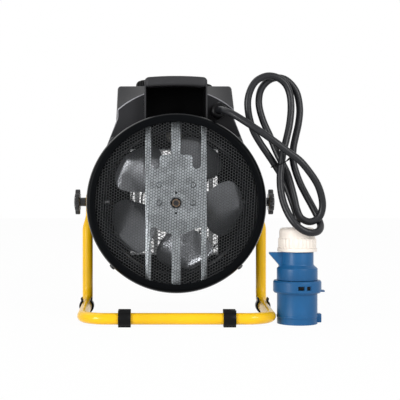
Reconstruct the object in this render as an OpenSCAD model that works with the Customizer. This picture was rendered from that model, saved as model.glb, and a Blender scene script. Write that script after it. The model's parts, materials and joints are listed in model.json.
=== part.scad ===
// Portable forced air heater: a round drum with a rear intake, tilting on a bent tube stand.
// Millimetres, +Z up, the rear intake faces -Y, the origin is on the floor under the middle of the heater.

/* [Drum] */
// Height of the drum's axis, and of the tilt pivot, above the floor
axis_h = 131.5; // [130:0.5:150]
// Distance from the tilt pivot back to the rear ring's face
rear_reach = 119; // [116:1:124]
// Distance from the tilt pivot forward to the front ring's face
front_reach = 101; // [98:1:110]
// Outside diameter of the sheet drum
drum_d = 196; // [190:1:197]
// Thickness of the drum's sheet
sheet_t = 1; // [0.8:0.1:1.4]
// Height of the stiffening beads rolled into the drum
drum_bead_h = 0.8; // [0.5:0.1:1]

/* [End rings and guards] */
// Diameter of the opening in each end ring
ring_open_d = 179; // [174:1:182]
// Length of an end ring along the drum
ring_l = 16; // [14:1:18]
// Thickness of an end ring
ring_t = 1.2; // [1:0.1:1.4]
// Radius of an end ring's rounded outer edge
ring_round = 5; // [3.5:0.5:5.5]
// Radius of the curl round a ring's opening
ring_curl_r = 1.1; // [0.9:0.1:1.3]
// Thickness of the rear mesh
mesh_t = 1; // [0.6:0.1:1.2]
// Distance between neighbouring holes of the rear mesh
mesh_pitch = 10.4; // [10:0.2:14]
// Diameter of a hole in the rear mesh
mesh_hole_d = 8; // [6:0.2:8.8]
// Wire thickness of the front guard
guard_wire_d = 2.6; // [2:0.1:3]
// Number of wire rings in the front guard
guard_rings = 7; // [4:1:8]
// Number of rods that carry the wire rings
guard_rods = 6; // [4:1:8]

/* [Screws] */
// Shank diameter of the small screws and rivets
screw_d = 3.5; // [3:0.1:4]
// Head diameter of the small screws
screw_head_d = 7; // [6:0.2:8]
// Head height of the small screws
screw_head_h = 2.4; // [1.8:0.1:2.6]

/* [Motor] */
// Distance from the rear ring's face to the motor bracket
bracket_depth = 16; // [14:0.5:18]
// Thickness of the motor bracket's plate
bracket_t = 1.5; // [1:0.1:2]
// Overall width of the motor bracket
bracket_w = 69; // [66:1:74]
// Width of the bracket's two outer straps
strap_w = 7.2; // [6:0.2:8]
// Width of the bracket's middle strap
mid_strap_w = 10; // [8:0.5:12]
// Outside diameter of the motor
motor_d = 62; // [58:1:64]
// Length of the motor's stator core
stator_l = 26; // [22:1:28]
// Length of each motor cover
motor_cover_l = 10.5; // [10:0.5:12]
// Wall of the motor covers
motor_wall = 1.4; // [1:0.1:1.8]
// Diameter of the rotor
rotor_d = 34; // [30:1:36]
// Diameter of the motor shaft
shaft_d = 6; // [5:0.5:6]
// Outside diameter of the shaft bushes
bush_d = 8.8; // [8.4:0.2:9.4]
// Outside diameter of the bosses that hold the bushes
boss_d = 11; // [10.8:0.2:12]

/* [Fan] */
// Diameter over the blade tips
fan_d = 159; // [150:1:161]
// Number of blades
blades = 5; // [3:1:6]
// Angle that one blade covers
blade_span = 62; // [40:1:64]
// Thickness of a blade
blade_t = 1.2; // [1:0.1:1.6]
// Rise of a blade from its leading to its trailing edge
blade_rise = 24; // [16:1:26]
// Diameter of the fan's centre disc
fan_disc_d = 46; // [40:1:50]
// Diameter of the fan's hub
hub_d = 17; // [14:1:20]
// Length of the fan's hub
hub_l = 16; // [12:1:18]
// Width across flats of the nut that holds the fan
fan_nut_af = 10; // [9:0.5:12]
// Gap between the blade tips and the duct round them
tip_gap = 4; // [3:0.5:6]
// Length of the duct round the fan
duct_l = 34; // [28:1:38]

/* [Heater block] */
// Width of the heater block
heater_w = 112.5; // [104:0.5:118]
// Height of the heater block
heater_h = 142.4; // [130:0.5:146]
// Depth of the heater block along the air path
heater_depth = 16; // [12:1:20]
// Number of heater bars side by side
heater_bars = 5; // [3:1:6]
// Width of one heater bar
heater_bar_w = 5.5; // [4:0.5:7]
// Gap between neighbouring heater elements
heater_gap = 1.2; // [0.8:0.1:2]
// Height of the end blocks that hold the heater bars
heater_end_h = 8; // [6:0.5:10]
// Distance from the pivot forward to the heater's plate
heater_place = 8.5; // [4:1:20]
// Distance between two folds of a corrugated fin
fin_pitch = 5; // [4:0.5:8]
// Thickness of the fins' strip
fin_t = 0.6; // [0.4:0.1:0.8]

/* [Hood] */
// Half the width of the hood at its ridge
hood_half_w = 68; // [66:1:70]
// Height of the hood's ridge above the drum's axis
ridge_h = 139; // [136:1:141]
// Distance from the pivot back to the hood's rear wall
hood_rear = 84; // [80:1:88]
// Distance from the pivot back to the ridge
ridge_rear = 20; // [16:1:26]
// Distance from the pivot forward to the hood's front wall
hood_front = 80; // [74:1:82]
// Height of the hood's front edge above the drum's axis
hood_front_h = 112; // [108:1:116]
// Wall of the hood
hood_wall = 2.5; // [2:0.1:3]
// Radius of the arched top edge of the rear wall
arch_r = 101; // [98:1:106]
// Height of the arch's top above the drum's axis
arch_top_h = 130.4; // [128:0.4:132]
// Half the width of the skirts where they meet the drum
skirt_half_w = 81.5; // [79:0.5:83]
// Height above the drum's axis at which the skirts start to flare
flare_h = 96; // [94:1:99]
// Thickness of the control panel
panel_t = 2; // [1.6:0.1:2.4]

/* [Carrying handle] */
// Width of the carrying handle
handle_w = 70.6; // [68:0.2:72]
// Wall of the handle's sides
handle_wall = 1.6; // [1.2:0.1:2.2]
// Distance from the pivot back to the grip's rear face
handle_rear = 100; // [98:1:103]
// Length of the handle from its rear face forward
handle_l = 64; // [58:1:66]
// Height of the grip's top above the drum's axis
handle_top_h = 142.5; // [141.5:0.5:144]
// Thickness of the grip
grip_h = 11; // [9:0.5:12]
// Depth of the grip from back to front
grip_l = 24; // [20:1:28]
// Rise of the grip's arched top between its sides
grip_crown = 1.7; // [1:0.1:2.5]

/* [Controls] */
// Distance of each control knob from the middle
dial_x = 35; // [32:1:38]
// Diameter of the control knobs
dial_d = 28; // [24:1:30]
// Height of the selector knob above the panel
selector_h = 18; // [15:0.5:20]
// Height of the thermostat knob above the panel
thermostat_h = 14; // [12:0.5:15]
// Diameter of the dials' spindles
spindle_d = 6; // [5:0.5:7]
// Diameter of the pilot lamp's lens
lamp_d = 10; // [8:0.5:12]

/* [Stand] */
// Diameter of the stand's tube
tube_d = 12.4; // [11.6:0.1:12.6]
// Distance between the axes of the two legs
leg_spacing = 210.4; // [209:0.2:214]
// Distance between the runners where they meet the crossbar
bar_spacing = 203.4; // [200:0.2:210]
// Distance from the legs back to the crossbar
bar_reach = 152; // [150:1:160]
// Bend radius between leg and runner
leg_bend_r = 21; // [19:0.5:22]
// Bend radius between runner and crossbar
bar_bend_r = 28; // [24:1:32]
// Thickness of the flattened ends of the legs
ear_t = 4; // [3:0.2:4.4]
// Width of the flattened ends of the legs
ear_w = 17.5; // [16:0.5:19]

/* [Foot clips] */
// Wall of a foot clip
clip_t = 2.4; // [2:0.1:3]
// Length of a foot clip along the tube
clip_l = 13.5; // [12:0.5:14]
// Distance of the rear clips from the middle
rear_clip_x = 57; // [45:1:65]
// Distance of the front clips behind the legs
front_clip_rear = 30; // [29:0.5:40]

/* [Clamp knobs] */
// Diameter over the lobes of a clamp knob
knob_d = 30.5; // [28:0.5:34]
// Thickness of a clamp knob's lobed head
knob_t = 7.4; // [6:0.2:9]
// Number of lobes on a clamp knob
knob_lobes = 6; // [5:1:8]
// Diameter of a clamp knob's round hub
knob_hub_d = 10.8; // [10:0.2:13]
// Length of a clamp knob's round hub
knob_hub_l = 7; // [5:0.5:9]
// Diameter of the pivot bolts
bolt_d = 6; // [5:0.5:7]

/* [Cord and gland] */
// Diameter of the cord
cord_d = 7.6; // [7:0.1:7.8]
// Distance of the gland from the middle
gland_x = 48; // [46:1:50]
// Height of the gland above the drum's axis
gland_h = 103.5; // [101:0.5:106]
// Width across flats of the gland
gland_af = 16.4; // [15.4:0.2:18]
// Length of the gland's domed nut
gland_nut_l = 12.6; // [11:0.2:14]

/* [Plug] */
// Distance of the plug from the middle
plug_x = 132.5; // [132:0.5:136]
// Distance of the plug behind the origin
plug_rear = 91; // [86:1:95]
// Outside diameter of the plug's shroud
shroud_d = 44; // [43:0.5:45]
// Wall of the plug's shroud
shroud_wall = 2.3; // [2:0.1:3]
// Height of the plug's shroud up to its collar
shroud_h = 36.5; // [34:0.5:38]
// Diameter of the plug's collar
collar_d = 52.6; // [50:0.2:53]
// Height of the plug's collar
collar_h = 12.8; // [11:0.2:14]
// Diameter of the plug's body over the collar
plug_body_d = 44.4; // [43:0.2:46]
// Height of the plug's body up to its shoulder
plug_body_h = 11; // [9:0.5:13]
// Diameter of the plug's neck
plug_neck_d = 36.6; // [34:0.2:38]
// Height of the plug's neck over the shoulder
plug_neck_h = 15; // [13:0.5:17]
// Diameter of the flange under the plug's nut
nut_flange_d = 43; // [41:0.5:44]
// Height of the flange under the plug's nut
nut_flange_h = 5.6; // [4:0.2:7]
// Diameter of the ribbed band of the plug's nut
nut_band_d = 40.4; // [38:0.2:41]
// Height of the ribbed band of the plug's nut
nut_band_h = 9.4; // [8:0.2:11]
// Diameter of the dome of the plug's nut
nut_dome_d = 35.6; // [33:0.2:37]
// Height of the dome of the plug's nut
nut_dome_h = 11.6; // [10:0.2:12.4]
// Diameter of the line and neutral pins
pin_d = 5; // [4:0.1:5.2]
// Diameter of the earth pin
earth_pin_d = 6; // [5:0.1:6.2]

/* [Hidden] */

// Clearance between pieces that seat against each other
seat = 0.3;
// Radial clearance of a shaft in its bearing, and of a screw in its hole
run = 0.06;
// Overrun of every cut past the face it leaves
over = 1;
// Facets of the round outlines inside a hull
hull_fn = 32;
// Facets that stand for a true round
round_fn = 96;

// Radii of the drum and its rings
drum_r = drum_d / 2;
drum_in_r = drum_r - sheet_t;
ring_r = drum_r + seat + ring_t;
ring_open_r = ring_open_d / 2;
ring_inset = 2 * ring_curl_r + seat;
drum_inset = ring_inset + mesh_t + 2 * seat;

// The stand's tube rests in the clips, whose lowest faces are the floor
tube_r = tube_d / 2;
clip_fit = 0.1;
clip_r = tube_r + clip_fit + clip_t;
tube_h = clip_r;
leg_x = leg_spacing / 2;
bar_x = bar_spacing / 2;

// The origin lies under the middle of the heater's length
axis_y = (bar_reach + clip_r - front_reach) / 2;

// Puts what is drawn round the drum's axis, with the pivot at its middle, in its place
module at_axis() { translate([0, axis_y, axis_h]) children(); }
// Turns a revolve or an extrusion so that its own height runs forward
module forward() { rotate([-90, 0, 0]) children(); }
// Stands a drawing, seen from behind, upright and gives it a thickness forward
module upright(t) { translate([0, t, 0]) rotate([90, 0, 0]) linear_extrude(t) children(); }
// Repeats a piece on the left and on the right
module both_sides() { children(); mirror([1, 0, 0]) children(); }
// Turns what is drawn along +Z outward to the right
module outward() { rotate([0, 90, 0]) children(); }
module rounded_bar(w, h, r) {
    translate([r, 0]) square([w - 2 * r, h]);
    translate([0, r]) square([w, h - 2 * r]);
    for (x = [r, w - r], y = [r, h - r]) translate([x, y]) circle(r, $fn = round_fn);
}
module ring(r_out, r_in, h) {
    rotate_extrude($fn = round_fn) translate([r_in, 0]) square([r_out - r_in, h]);
}
module disc(r, h) { cylinder(r = r, h = h, $fn = round_fn); }
module hexagon(af, h) { cylinder(d = af / cos(30), h = h, $fn = 6); }

// Small screws with a tapered pan head, drawn with the head outward and its seat at 0
screw_r = screw_d / 2;
screw_head_r = screw_head_d / 2;
screw_taper_share = 0.7;
module pan_screw(shank_l) {
    cylinder(h = screw_head_h, r1 = screw_head_r, r2 = screw_head_r * screw_taper_share, $fn = round_fn);
    translate([0, 0, -shank_l]) disc(screw_r, shank_l);
}

// A round tube swept through places, each a point and a heading; every ring of its wall turns
// with the line by the least amount from the ring before
function unit(v) = v / norm(v);
function square_to(v, t) = unit(v - (v * t) * t);
function ring_normals(places) = [for (i = 0, n = square_to([0, 1, 0.3], places[0][1]); i < len(places);
    i = i + 1, n = i < len(places) ? square_to(n, places[i][1]) : n) n];
module swept_tube(places, r, sides) {
    ns = ring_normals(places);
    last = (len(places) - 1) * sides;
    points = [for (k = [0 : len(places) - 1], s = [0 : sides - 1]) let (a = 360 * s / sides)
        places[k][0] + r * (cos(a) * ns[k] + sin(a) * cross(places[k][1], ns[k]))];
    walls = [for (k = [0 : len(places) - 2], s = [0 : sides - 1]) each
        let (a = k * sides + s, b = k * sides + (s + 1) % sides) [[b, a, a + sides], [b, a + sides, b + sides]]];
    start = [for (s = [1 : sides - 2]) [0, s, s + 1]];
    end = [for (s = [1 : sides - 2]) [last + s + 1, last + s, last]];
    polyhedron(points, concat(walls, start, end));
}

// STAND
// Places along a bent tube: its two ends, and steps round each bend between its straight runs
bend_steps = 9;
tube_sides = 32;
function bend_places(p, i, bend_r) =
    let (u = unit(p[i] - p[i - 1]), v = unit(p[i + 1] - p[i]), turn = acos(u * v),
        centre = p[i] + unit(v - u) * bend_r / cos(turn / 2),
        out = unit(p[i] - u * bend_r * tan(turn / 2) - centre))
    [for (k = [0 : bend_steps]) let (a = turn * k / bend_steps)
        [centre + bend_r * (out * cos(a) + u * sin(a)), u * cos(a) - out * sin(a)]];
function tube_places(p, radii) = let (n = len(p) - 1) concat(
    [[p[0], unit(p[1] - p[0])]],
    [for (i = [1 : n - 1]) each bend_places(p, i, radii[i - 1])],
    [[p[n], unit(p[n] - p[n - 1])]]);

// The legs' ends are pressed flat round the pivot bolts
ear_flat_l = ear_w * 0.8;
ear_blend_l = 1.6 * tube_d;
ear_slice = ear_t / 8;
ear_low = axis_h - ear_flat_l - ear_blend_l;
pivot_bore_r = bolt_d / 2 + run;
module leg_end() {
    translate([leg_x, axis_y, axis_h]) {
        difference() {
            union() {
                translate([-ear_t / 2, 0, 0]) outward() disc(ear_w / 2, ear_t);
                translate([-ear_t / 2, -ear_w / 2, -ear_flat_l]) cube([ear_t, ear_w, ear_flat_l]);
            }
            translate([-ear_t, 0, 0]) outward() disc(pivot_bore_r, 2 * ear_t);
        }
        translate([0, 0, -ear_flat_l]) hull() {
            translate([-ear_t / 2, -ear_w / 2, 0]) cube([ear_t, ear_w, ear_slice]);
            translate([0, 0, -ear_blend_l]) cylinder(r = tube_r, h = ear_slice, $fn = hull_fn);
        }
    }
}
stand_path = [[leg_x, axis_y, ear_low + ear_slice], [leg_x, axis_y, tube_h],
    [bar_x, axis_y - bar_reach, tube_h], [-bar_x, axis_y - bar_reach, tube_h],
    [-leg_x, axis_y, tube_h], [-leg_x, axis_y, ear_low + ear_slice]];
module stand_tube() {
    color("gold") {
        swept_tube(tube_places(stand_path, [leg_bend_r, bar_bend_r, bar_bend_r, leg_bend_r]), tube_r, tube_sides);
        both_sides() leg_end();
    }
}

// Open clips with flared lips that snap on the tube from below and carry the heater
clip_mouth = 84;
clip_lip_l = 0.42 * tube_d;
clip_lip_angle = 74;
lip_t = 0.85 * clip_t;
clip_pad_w = 0.74 * tube_d;
clip_pad_h = 0.7 * clip_t;
module clip_outline() {
    mid_r = clip_r - clip_t / 2;
    difference() {
        union() {
            circle(clip_r, $fn = round_fn);
            translate([-clip_pad_w / 2, -clip_r]) square([clip_pad_w, clip_pad_h]);
        }
        circle(clip_r - clip_t, $fn = round_fn);
        polygon([[0, 0], 2 * clip_r * [cos(90 - clip_mouth / 2), sin(90 - clip_mouth / 2)],
            2 * clip_r * [cos(90 + clip_mouth / 2), sin(90 + clip_mouth / 2)]]);
    }
    for (s = [0, 1]) mirror([s, 0]) rotate(90 - clip_mouth / 2) translate([mid_r, 0])
        rotate(clip_lip_angle + clip_mouth / 2 - 90) {
            circle(clip_t * 0.49, $fn = round_fn);
            translate([0, -lip_t / 2]) square([clip_lip_l, lip_t]);
            translate([clip_lip_l, 0]) circle(lip_t / 2, $fn = round_fn);
        }
}
module foot_clip() { translate([0, clip_l / 2, 0]) rotate([90, 0, 0]) linear_extrude(clip_l) clip_outline(); }
module rear_foot_clips() {
    color("black") both_sides()
        translate([rear_clip_x, axis_y - bar_reach, tube_h]) rotate([0, 0, 90]) foot_clip();
}
runner_turn = atan((leg_x - bar_x) / bar_reach);
module front_foot_clips() {
    color("black") both_sides()
        translate([leg_x - front_clip_rear * tan(runner_turn), axis_y - front_clip_rear, tube_h])
            rotate([0, 0, -runner_turn]) foot_clip();
}

// DRUM AND RINGS
// Screws through the rings' skirts stand at the four diagonals
ring_screw_angles = [45, 135, 225, 315];
ring_screw_depth = 0.62 * ring_l;
ring_screw_l = ring_t + seat + sheet_t + screw_d;
ring_screw_hole_r = screw_r + run;
module at_ring_screws(y) {
    for (a = ring_screw_angles) translate([0, y, 0]) rotate([0, a, 0]) children();
}
neck_r = bolt_d / 2 + 1.2 * ring_round / 2;
drum_bead_w = 2 * ring_round;
drum_l = rear_reach + front_reach - 2 * drum_inset;
module drum_bead(at) {
    bead_r = (drum_bead_w * drum_bead_w / 4 + drum_bead_h * drum_bead_h) / (2 * drum_bead_h);
    translate([0, 0, at]) rotate_extrude($fn = round_fn) intersection() {
        translate([drum_r + drum_bead_h - bead_r, 0]) circle(bead_r, $fn = round_fn);
        translate([drum_in_r, -drum_bead_w]) square([drum_r, 2 * drum_bead_w]);
    }
}
wire_hole_w = 0.2 * drum_d;
wire_hole_l = 0.16 * drum_d;
module drum_shell() {
    color([0.1, 0.11, 0.13]) at_axis() difference() {
        translate([0, -rear_reach + drum_inset, 0]) forward() {
            ring(drum_r, drum_in_r, drum_l);
            drum_bead(ring_l + drum_bead_w);
            drum_bead(drum_l - ring_l + drum_inset - drum_bead_w / 2 + seat);
        }
        both_sides() outward() disc(neck_r + seat, drum_d);
        at_ring_screws(-rear_reach + ring_screw_depth) disc(ring_screw_hole_r, drum_d);
        at_ring_screws(front_reach - ring_screw_depth) disc(ring_screw_hole_r, drum_d);
        translate([-wire_hole_w / 2, wire_hole_l / 2, 0]) cube([wire_hole_w, wire_hole_l, drum_d]);
    }
}

// A ring caps each end of the drum: face, rounded edge and skirt in one turned-over sheet
module ring_section(inset) {
    translate([0, inset]) square([ring_r - ring_round, ring_l + over]);
    translate([0, ring_round]) square([ring_r - inset, ring_l + over]);
    translate([ring_r - ring_round, ring_round]) circle(ring_round - inset, $fn = round_fn);
}
module end_ring() {
    difference() {
        rotate_extrude($fn = round_fn) {
            difference() {
                ring_section(0);
                ring_section(ring_t);
                translate([0, -over]) square([ring_open_r + ring_curl_r, ring_l]);
                translate([0, ring_l]) square([2 * ring_r, 2 * ring_l]);
            }
            translate([ring_open_r + ring_curl_r, ring_curl_r]) circle(ring_curl_r, $fn = round_fn);
        }
        for (a = ring_screw_angles) rotate([0, 90, a]) translate([-ring_screw_depth, 0, 0])
            disc(ring_screw_hole_r, drum_d);
    }
}
module rear_ring() { color([0.1, 0.11, 0.13]) at_axis() translate([0, -rear_reach, 0]) forward() end_ring(); }
module front_ring() {
    color([0.1, 0.11, 0.13]) at_axis() translate([0, front_reach, 0]) rotate([90, 0, 0]) end_ring();
}
module ring_screws(y) {
    color([0.2, 0.2, 0.2]) at_axis() at_ring_screws(y) translate([0, 0, ring_r + run]) pan_screw(ring_screw_l);
}
module rear_ring_screws() { ring_screws(-rear_reach + ring_screw_depth); }
module front_ring_screws() { ring_screws(front_reach - ring_screw_depth); }

// Perforated sheet with its holes on a triangular lattice
mesh_r = ring_r - ring_round + ring_t;
mesh_holes_r = ring_open_r - ring_curl_r;
mesh_row = mesh_pitch * sin(60);
mesh_rows = ceil(mesh_holes_r / mesh_row);
module rear_mesh() {
    color([0.08, 0.08, 0.09]) at_axis() translate([0, -rear_reach + ring_inset, 0]) upright(mesh_t) difference() {
        circle(mesh_r, $fn = round_fn);
        for (i = [-mesh_rows : mesh_rows], j = [-mesh_rows : mesh_rows]) {
            p = [(j + (i % 2 == 0 ? 0 : 1 / 2)) * mesh_pitch, i * mesh_row];
            if (norm(p) + mesh_hole_d / 2 < mesh_holes_r) translate(p) circle(mesh_hole_d / 2, $fn = round_fn);
        }
    }
}

// Welded wire guard: concentric rings on straight rods that end under the front ring
guard_r = guard_wire_d / 2;
guard_in_share = 0.15;
guard_out_r = mesh_r - guard_r;
module front_guard() {
    step = guard_out_r * (1 - guard_in_share) / (guard_rings - 1);
    color([0.12, 0.12, 0.13]) at_axis()
        translate([0, front_reach - ring_inset - guard_r, 0]) forward() {
            for (i = [0 : guard_rings - 1]) rotate_extrude($fn = round_fn)
                translate([guard_out_r - i * step, 0]) circle(guard_r, $fn = round_fn);
            for (k = [0 : guard_rods - 1]) rotate([0, 90, k * 360 / guard_rods + 90])
                translate([0, 0, guard_out_r * guard_in_share])
                    disc(guard_r * 0.8, guard_out_r * (1 - guard_in_share));
        }
}

// MOTOR
bracket_y = -rear_reach + bracket_depth;
bracket_half = bracket_w / 2;
strap_mid = bracket_half - strap_w / 2;
strap_lean = asin(strap_mid / drum_in_r);
strap_end = drum_in_r * cos(strap_lean) - bracket_t - seat;
mid_strap_end = drum_in_r - bracket_t - seat;
tab_l = 1.6 * strap_w;
// Rows of heights of the plate's corners, as shares of the bracket's half width
plate_top_share = 1.11;
tongue_top_share = 1.58;
plate_low_share = 0.8;
point_low_share = 1;
rivet_x_share = 0.55;
rivet_h_shares = [0, 0.58];
vent_h_share = 0.33;
tongue_half = bracket_half - strap_w - 2 * screw_head_r * 1.25;
slot_r = (bracket_half - strap_w - tongue_half) / 2;
boss_r = boss_d / 2;
shaft_r = shaft_d / 2;
bush_r = bush_d / 2;
module bracket_outline() {
    difference() {
        union() {
            for (s = [-1, 1]) translate([s * strap_mid - strap_w / 2, -strap_end]) square([strap_w, 2 * strap_end]);
            translate([-mid_strap_w / 2, -mid_strap_end]) square([mid_strap_w, 2 * mid_strap_end]);
            translate([-bracket_half, -plate_low_share * bracket_half])
                square([bracket_w, (plate_low_share + plate_top_share) * bracket_half]);
            translate([-tongue_half, 0]) rounded_bar(2 * tongue_half, tongue_top_share * bracket_half, slot_r);
            polygon([[-tongue_half * 1.3, -plate_low_share * bracket_half],
                [-mid_strap_w * 0.75, -point_low_share * bracket_half],
                [mid_strap_w * 0.75, -point_low_share * bracket_half],
                [tongue_half * 1.3, -plate_low_share * bracket_half]]);
        }
        for (s = [-1, 1]) translate([s * (tongue_half + slot_r), plate_top_share * bracket_half])
            circle(slot_r, $fn = round_fn);
        circle(boss_r + seat, $fn = round_fn);
        for (h = [-vent_h_share, vent_h_share]) translate([0, h * bracket_half]) circle(screw_r * 0.75, $fn = round_fn);
        for (s = [-1, 1], h = rivet_h_shares)
            translate([s * rivet_x_share * bracket_half, h * bracket_half]) circle(screw_r + run, $fn = round_fn);
    }
}
module strap_tab(angle) {
    rotate([0, angle, 0]) translate([-strap_w / 2, 0, drum_in_r - seat - bracket_t - slot_r * 0.2])
        cube([strap_w, tab_l, bracket_t]);
}
module motor_bracket() {
    color([0.62, 0.66, 0.66]) at_axis() translate([0, bracket_y, 0]) {
        upright(bracket_t) bracket_outline();
        for (end = [0, 180], s = [-1, 0, 1]) strap_tab(end + s * strap_lean);
    }
}
motor_back = bracket_y + bracket_t + seat;
motor_r = motor_d / 2;
rivet_l = bracket_t + seat + motor_wall;
module bracket_rivets() {
    color([0.75, 0.75, 0.74]) at_axis() for (s = [-1, 1], h = rivet_h_shares)
        translate([s * rivet_x_share * bracket_half, bracket_y - run, h * bracket_half])
            rotate([90, 0, 0]) pan_screw(rivet_l);
}

// Pressed cover of the motor with a boss for its bush; drawn with its closed end at 0
boss_stand = bracket_t + seat + shaft_r / 2;
module motor_cover(vents) {
    difference() {
        union() {
            difference() {
                disc(motor_r, motor_cover_l);
                translate([0, 0, motor_wall]) disc(motor_r - motor_wall, motor_cover_l);
            }
            translate([0, 0, -boss_stand]) disc(boss_r, boss_stand + motor_wall + bush_r);
        }
        translate([0, 0, -boss_stand - over]) disc(bush_r + run, motor_cover_l + boss_stand);
        for (a = [0 : vents - 1]) rotate(a * 360 / vents)
            translate([motor_r * 0.82, 0, -over]) disc(motor_r * 0.1, motor_wall + 2 * over);
        if (vents < 6) for (s = [-1, 1], h = rivet_h_shares)
            translate([s * rivet_x_share * bracket_half, -h * bracket_half, -over])
                disc(screw_r + run, motor_wall + 2 * over);
    }
}
stator_y = motor_back + motor_cover_l + seat;
front_cover_y = stator_y + stator_l + seat + motor_cover_l;
module motor_rear_cover() { color([0.55, 0.55, 0.56]) at_axis() translate([0, motor_back, 0]) forward() motor_cover(4); }
module motor_front_cover() {
    color([0.55, 0.55, 0.56]) at_axis() translate([0, front_cover_y, 0]) rotate([90, 0, 0]) motor_cover(8);
}
stator_slots = 12;
rotor_r = rotor_d / 2;
air_gap = seat + run;
slot_depth_share = 0.62;
module stator_core() {
    ring_w = motor_r - rotor_r - air_gap;
    color([0.4, 0.42, 0.45]) at_axis() translate([0, stator_y, 0]) forward() linear_extrude(stator_l) difference() {
        circle(motor_r, $fn = round_fn);
        circle(rotor_r + air_gap, $fn = round_fn);
        for (a = [0 : stator_slots - 1]) rotate((a + 1 / 2) * 360 / stator_slots) {
            translate([rotor_r, -run * ring_w]) square([ring_w / 2, 2 * run * ring_w]);
            translate([rotor_r + ring_w * slot_depth_share, 0]) circle(ring_w * 0.2, $fn = round_fn);
        }
    }
}
winding_l = motor_cover_l - motor_wall - bush_r * 0.3;
module winding_end() {
    rotate_extrude($fn = round_fn) translate([rotor_r + 2 * sheet_t, 0])
        rounded_bar(motor_r - motor_wall - rotor_r - 3 * sheet_t, winding_l, winding_l / 4);
}
module stator_windings() {
    color([0.72, 0.4, 0.2]) at_axis() {
        translate([0, stator_y - seat, 0]) rotate([90, 0, 0]) winding_end();
        translate([0, stator_y + stator_l + seat, 0]) forward() winding_end();
    }
}
bush_l = boss_stand + motor_wall + bush_r;
module motor_bushes() {
    color([0.72, 0.5, 0.25]) at_axis() {
        translate([0, motor_back - boss_stand, 0]) forward() ring(bush_r, shaft_r + run, bush_l);
        translate([0, front_cover_y - bush_l + boss_stand, 0]) forward() ring(bush_r, shaft_r + run, bush_l);
    }
}
module rotor() {
    color([0.5, 0.5, 0.52]) at_axis() translate([0, stator_y, 0]) forward() {
        ring(rotor_r, shaft_r + run, stator_l);
        translate([0, 0, -winding_l / 3]) ring(rotor_r * 0.85, rotor_r * 0.6, stator_l + winding_l * 2 / 3);
    }
}
hub_y = front_cover_y + boss_stand + sheet_t;
shaft_front = hub_y + hub_l + 2 * shaft_d;
module motor_shaft() {
    shaft_back = motor_back - boss_stand - seat;
    color([0.75, 0.75, 0.77]) at_axis() translate([0, shaft_back, 0]) forward()
        disc(shaft_r, shaft_front - shaft_back);
}

// FAN
hub_flange_t = blade_t + sheet_t;
fan_mid = hub_y + hub_l * 0.45;
blade_root_r = fan_disc_d / 2 - 2 * sheet_t;
fan_r = fan_d / 2;
blade_steps = 10;
blade_rows = 9;
blade_first = 8;
blade_corner_share = 0.55;
blade_cup_share = 0.28;
// Half the angle that a blade covers at a share v of its length: it widens from the root and rounds off at the tip
function blade_half(v) = blade_span / 2 * (0.62 + 0.38 * min(1, v / blade_corner_share))
    * sqrt(max(0.03, 1 - pow(max(0, v - blade_corner_share) / (1 - blade_corner_share), 2.6)));
function blade_r(v) = blade_root_r + (fan_r - blade_root_r) * v;
// Rise of the surface at u from -1 at the leading edge to 1 at the trailing edge
function blade_lift(u, v) = blade_rise / 2 * (0.3 + 0.7 * v) * (u + blade_cup_share * (1 - u * u));
function blade_point(u, v, side) = let (a = u * blade_half(v), r = blade_r(v))
    [r * cos(a), r * sin(a), blade_lift(u, v) * min(1, 0.15 + 3 * v) + side * blade_t / 2];
module blade() {
    n = blade_steps + 1;
    m = blade_rows + 1;
    size = n * m;
    points = [for (side = [-1, 1], j = [0 : blade_rows], i = [0 : blade_steps])
        blade_point(2 * i / blade_steps - 1, j / blade_rows, side)];
    low = [for (j = [0 : blade_rows - 1], i = [0 : blade_steps - 1]) each
        let (a = j * n + i) [[a, a + n + 1, a + 1], [a, a + n, a + n + 1]]];
    high = [for (f = low) [f[2] + size, f[1] + size, f[0] + size]];
    edge = concat([for (i = [0 : blade_steps - 1]) i], [for (j = [0 : blade_rows - 1]) j * n + blade_steps],
        [for (i = [0 : blade_steps - 1]) size - 1 - i], [for (j = [0 : blade_rows - 1]) size - n - j * n]);
    rim = [for (k = [0 : len(edge) - 1]) each let (a = edge[k], b = edge[(k + 1) % len(edge)])
        [[a, b, a + size], [b, b + size, a + size]]];
    polyhedron(points, concat(low, high, rim));
}
module fan_wheel() {
    color([0.68, 0.7, 0.72]) at_axis() translate([0, fan_mid, 0]) forward() {
        translate([0, 0, -blade_t / 2]) ring(fan_disc_d / 2, hub_d / 2 - hub_flange_t + run, blade_t);
        for (k = [0 : blades - 1]) rotate(k * 360 / blades + blade_first) blade();
    }
}
module fan_hub() {
    color([0.7, 0.6, 0.35]) at_axis() translate([0, hub_y, 0]) forward() difference() {
        union() {
            disc(hub_d / 2 - hub_flange_t, hub_l);
            disc(hub_d / 2 + hub_flange_t, fan_mid - hub_y - blade_t / 2 - run);
        }
        translate([0, 0, -over]) disc(shaft_r + run / 2, hub_l + 2 * over);
    }
}
module fan_nut() {
    color([0.8, 0.8, 0.8]) at_axis() translate([0, hub_y + hub_l + seat, 0]) forward() difference() {
        hexagon(fan_nut_af, shaft_d);
        translate([0, 0, -over]) disc(shaft_r + run / 2, shaft_d + 2 * over);
    }
}
duct_r = fan_r + tip_gap;
duct_mouth_r = (drum_in_r - duct_r) / 3;
duct_back = fan_mid - duct_l / 2;
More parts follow.
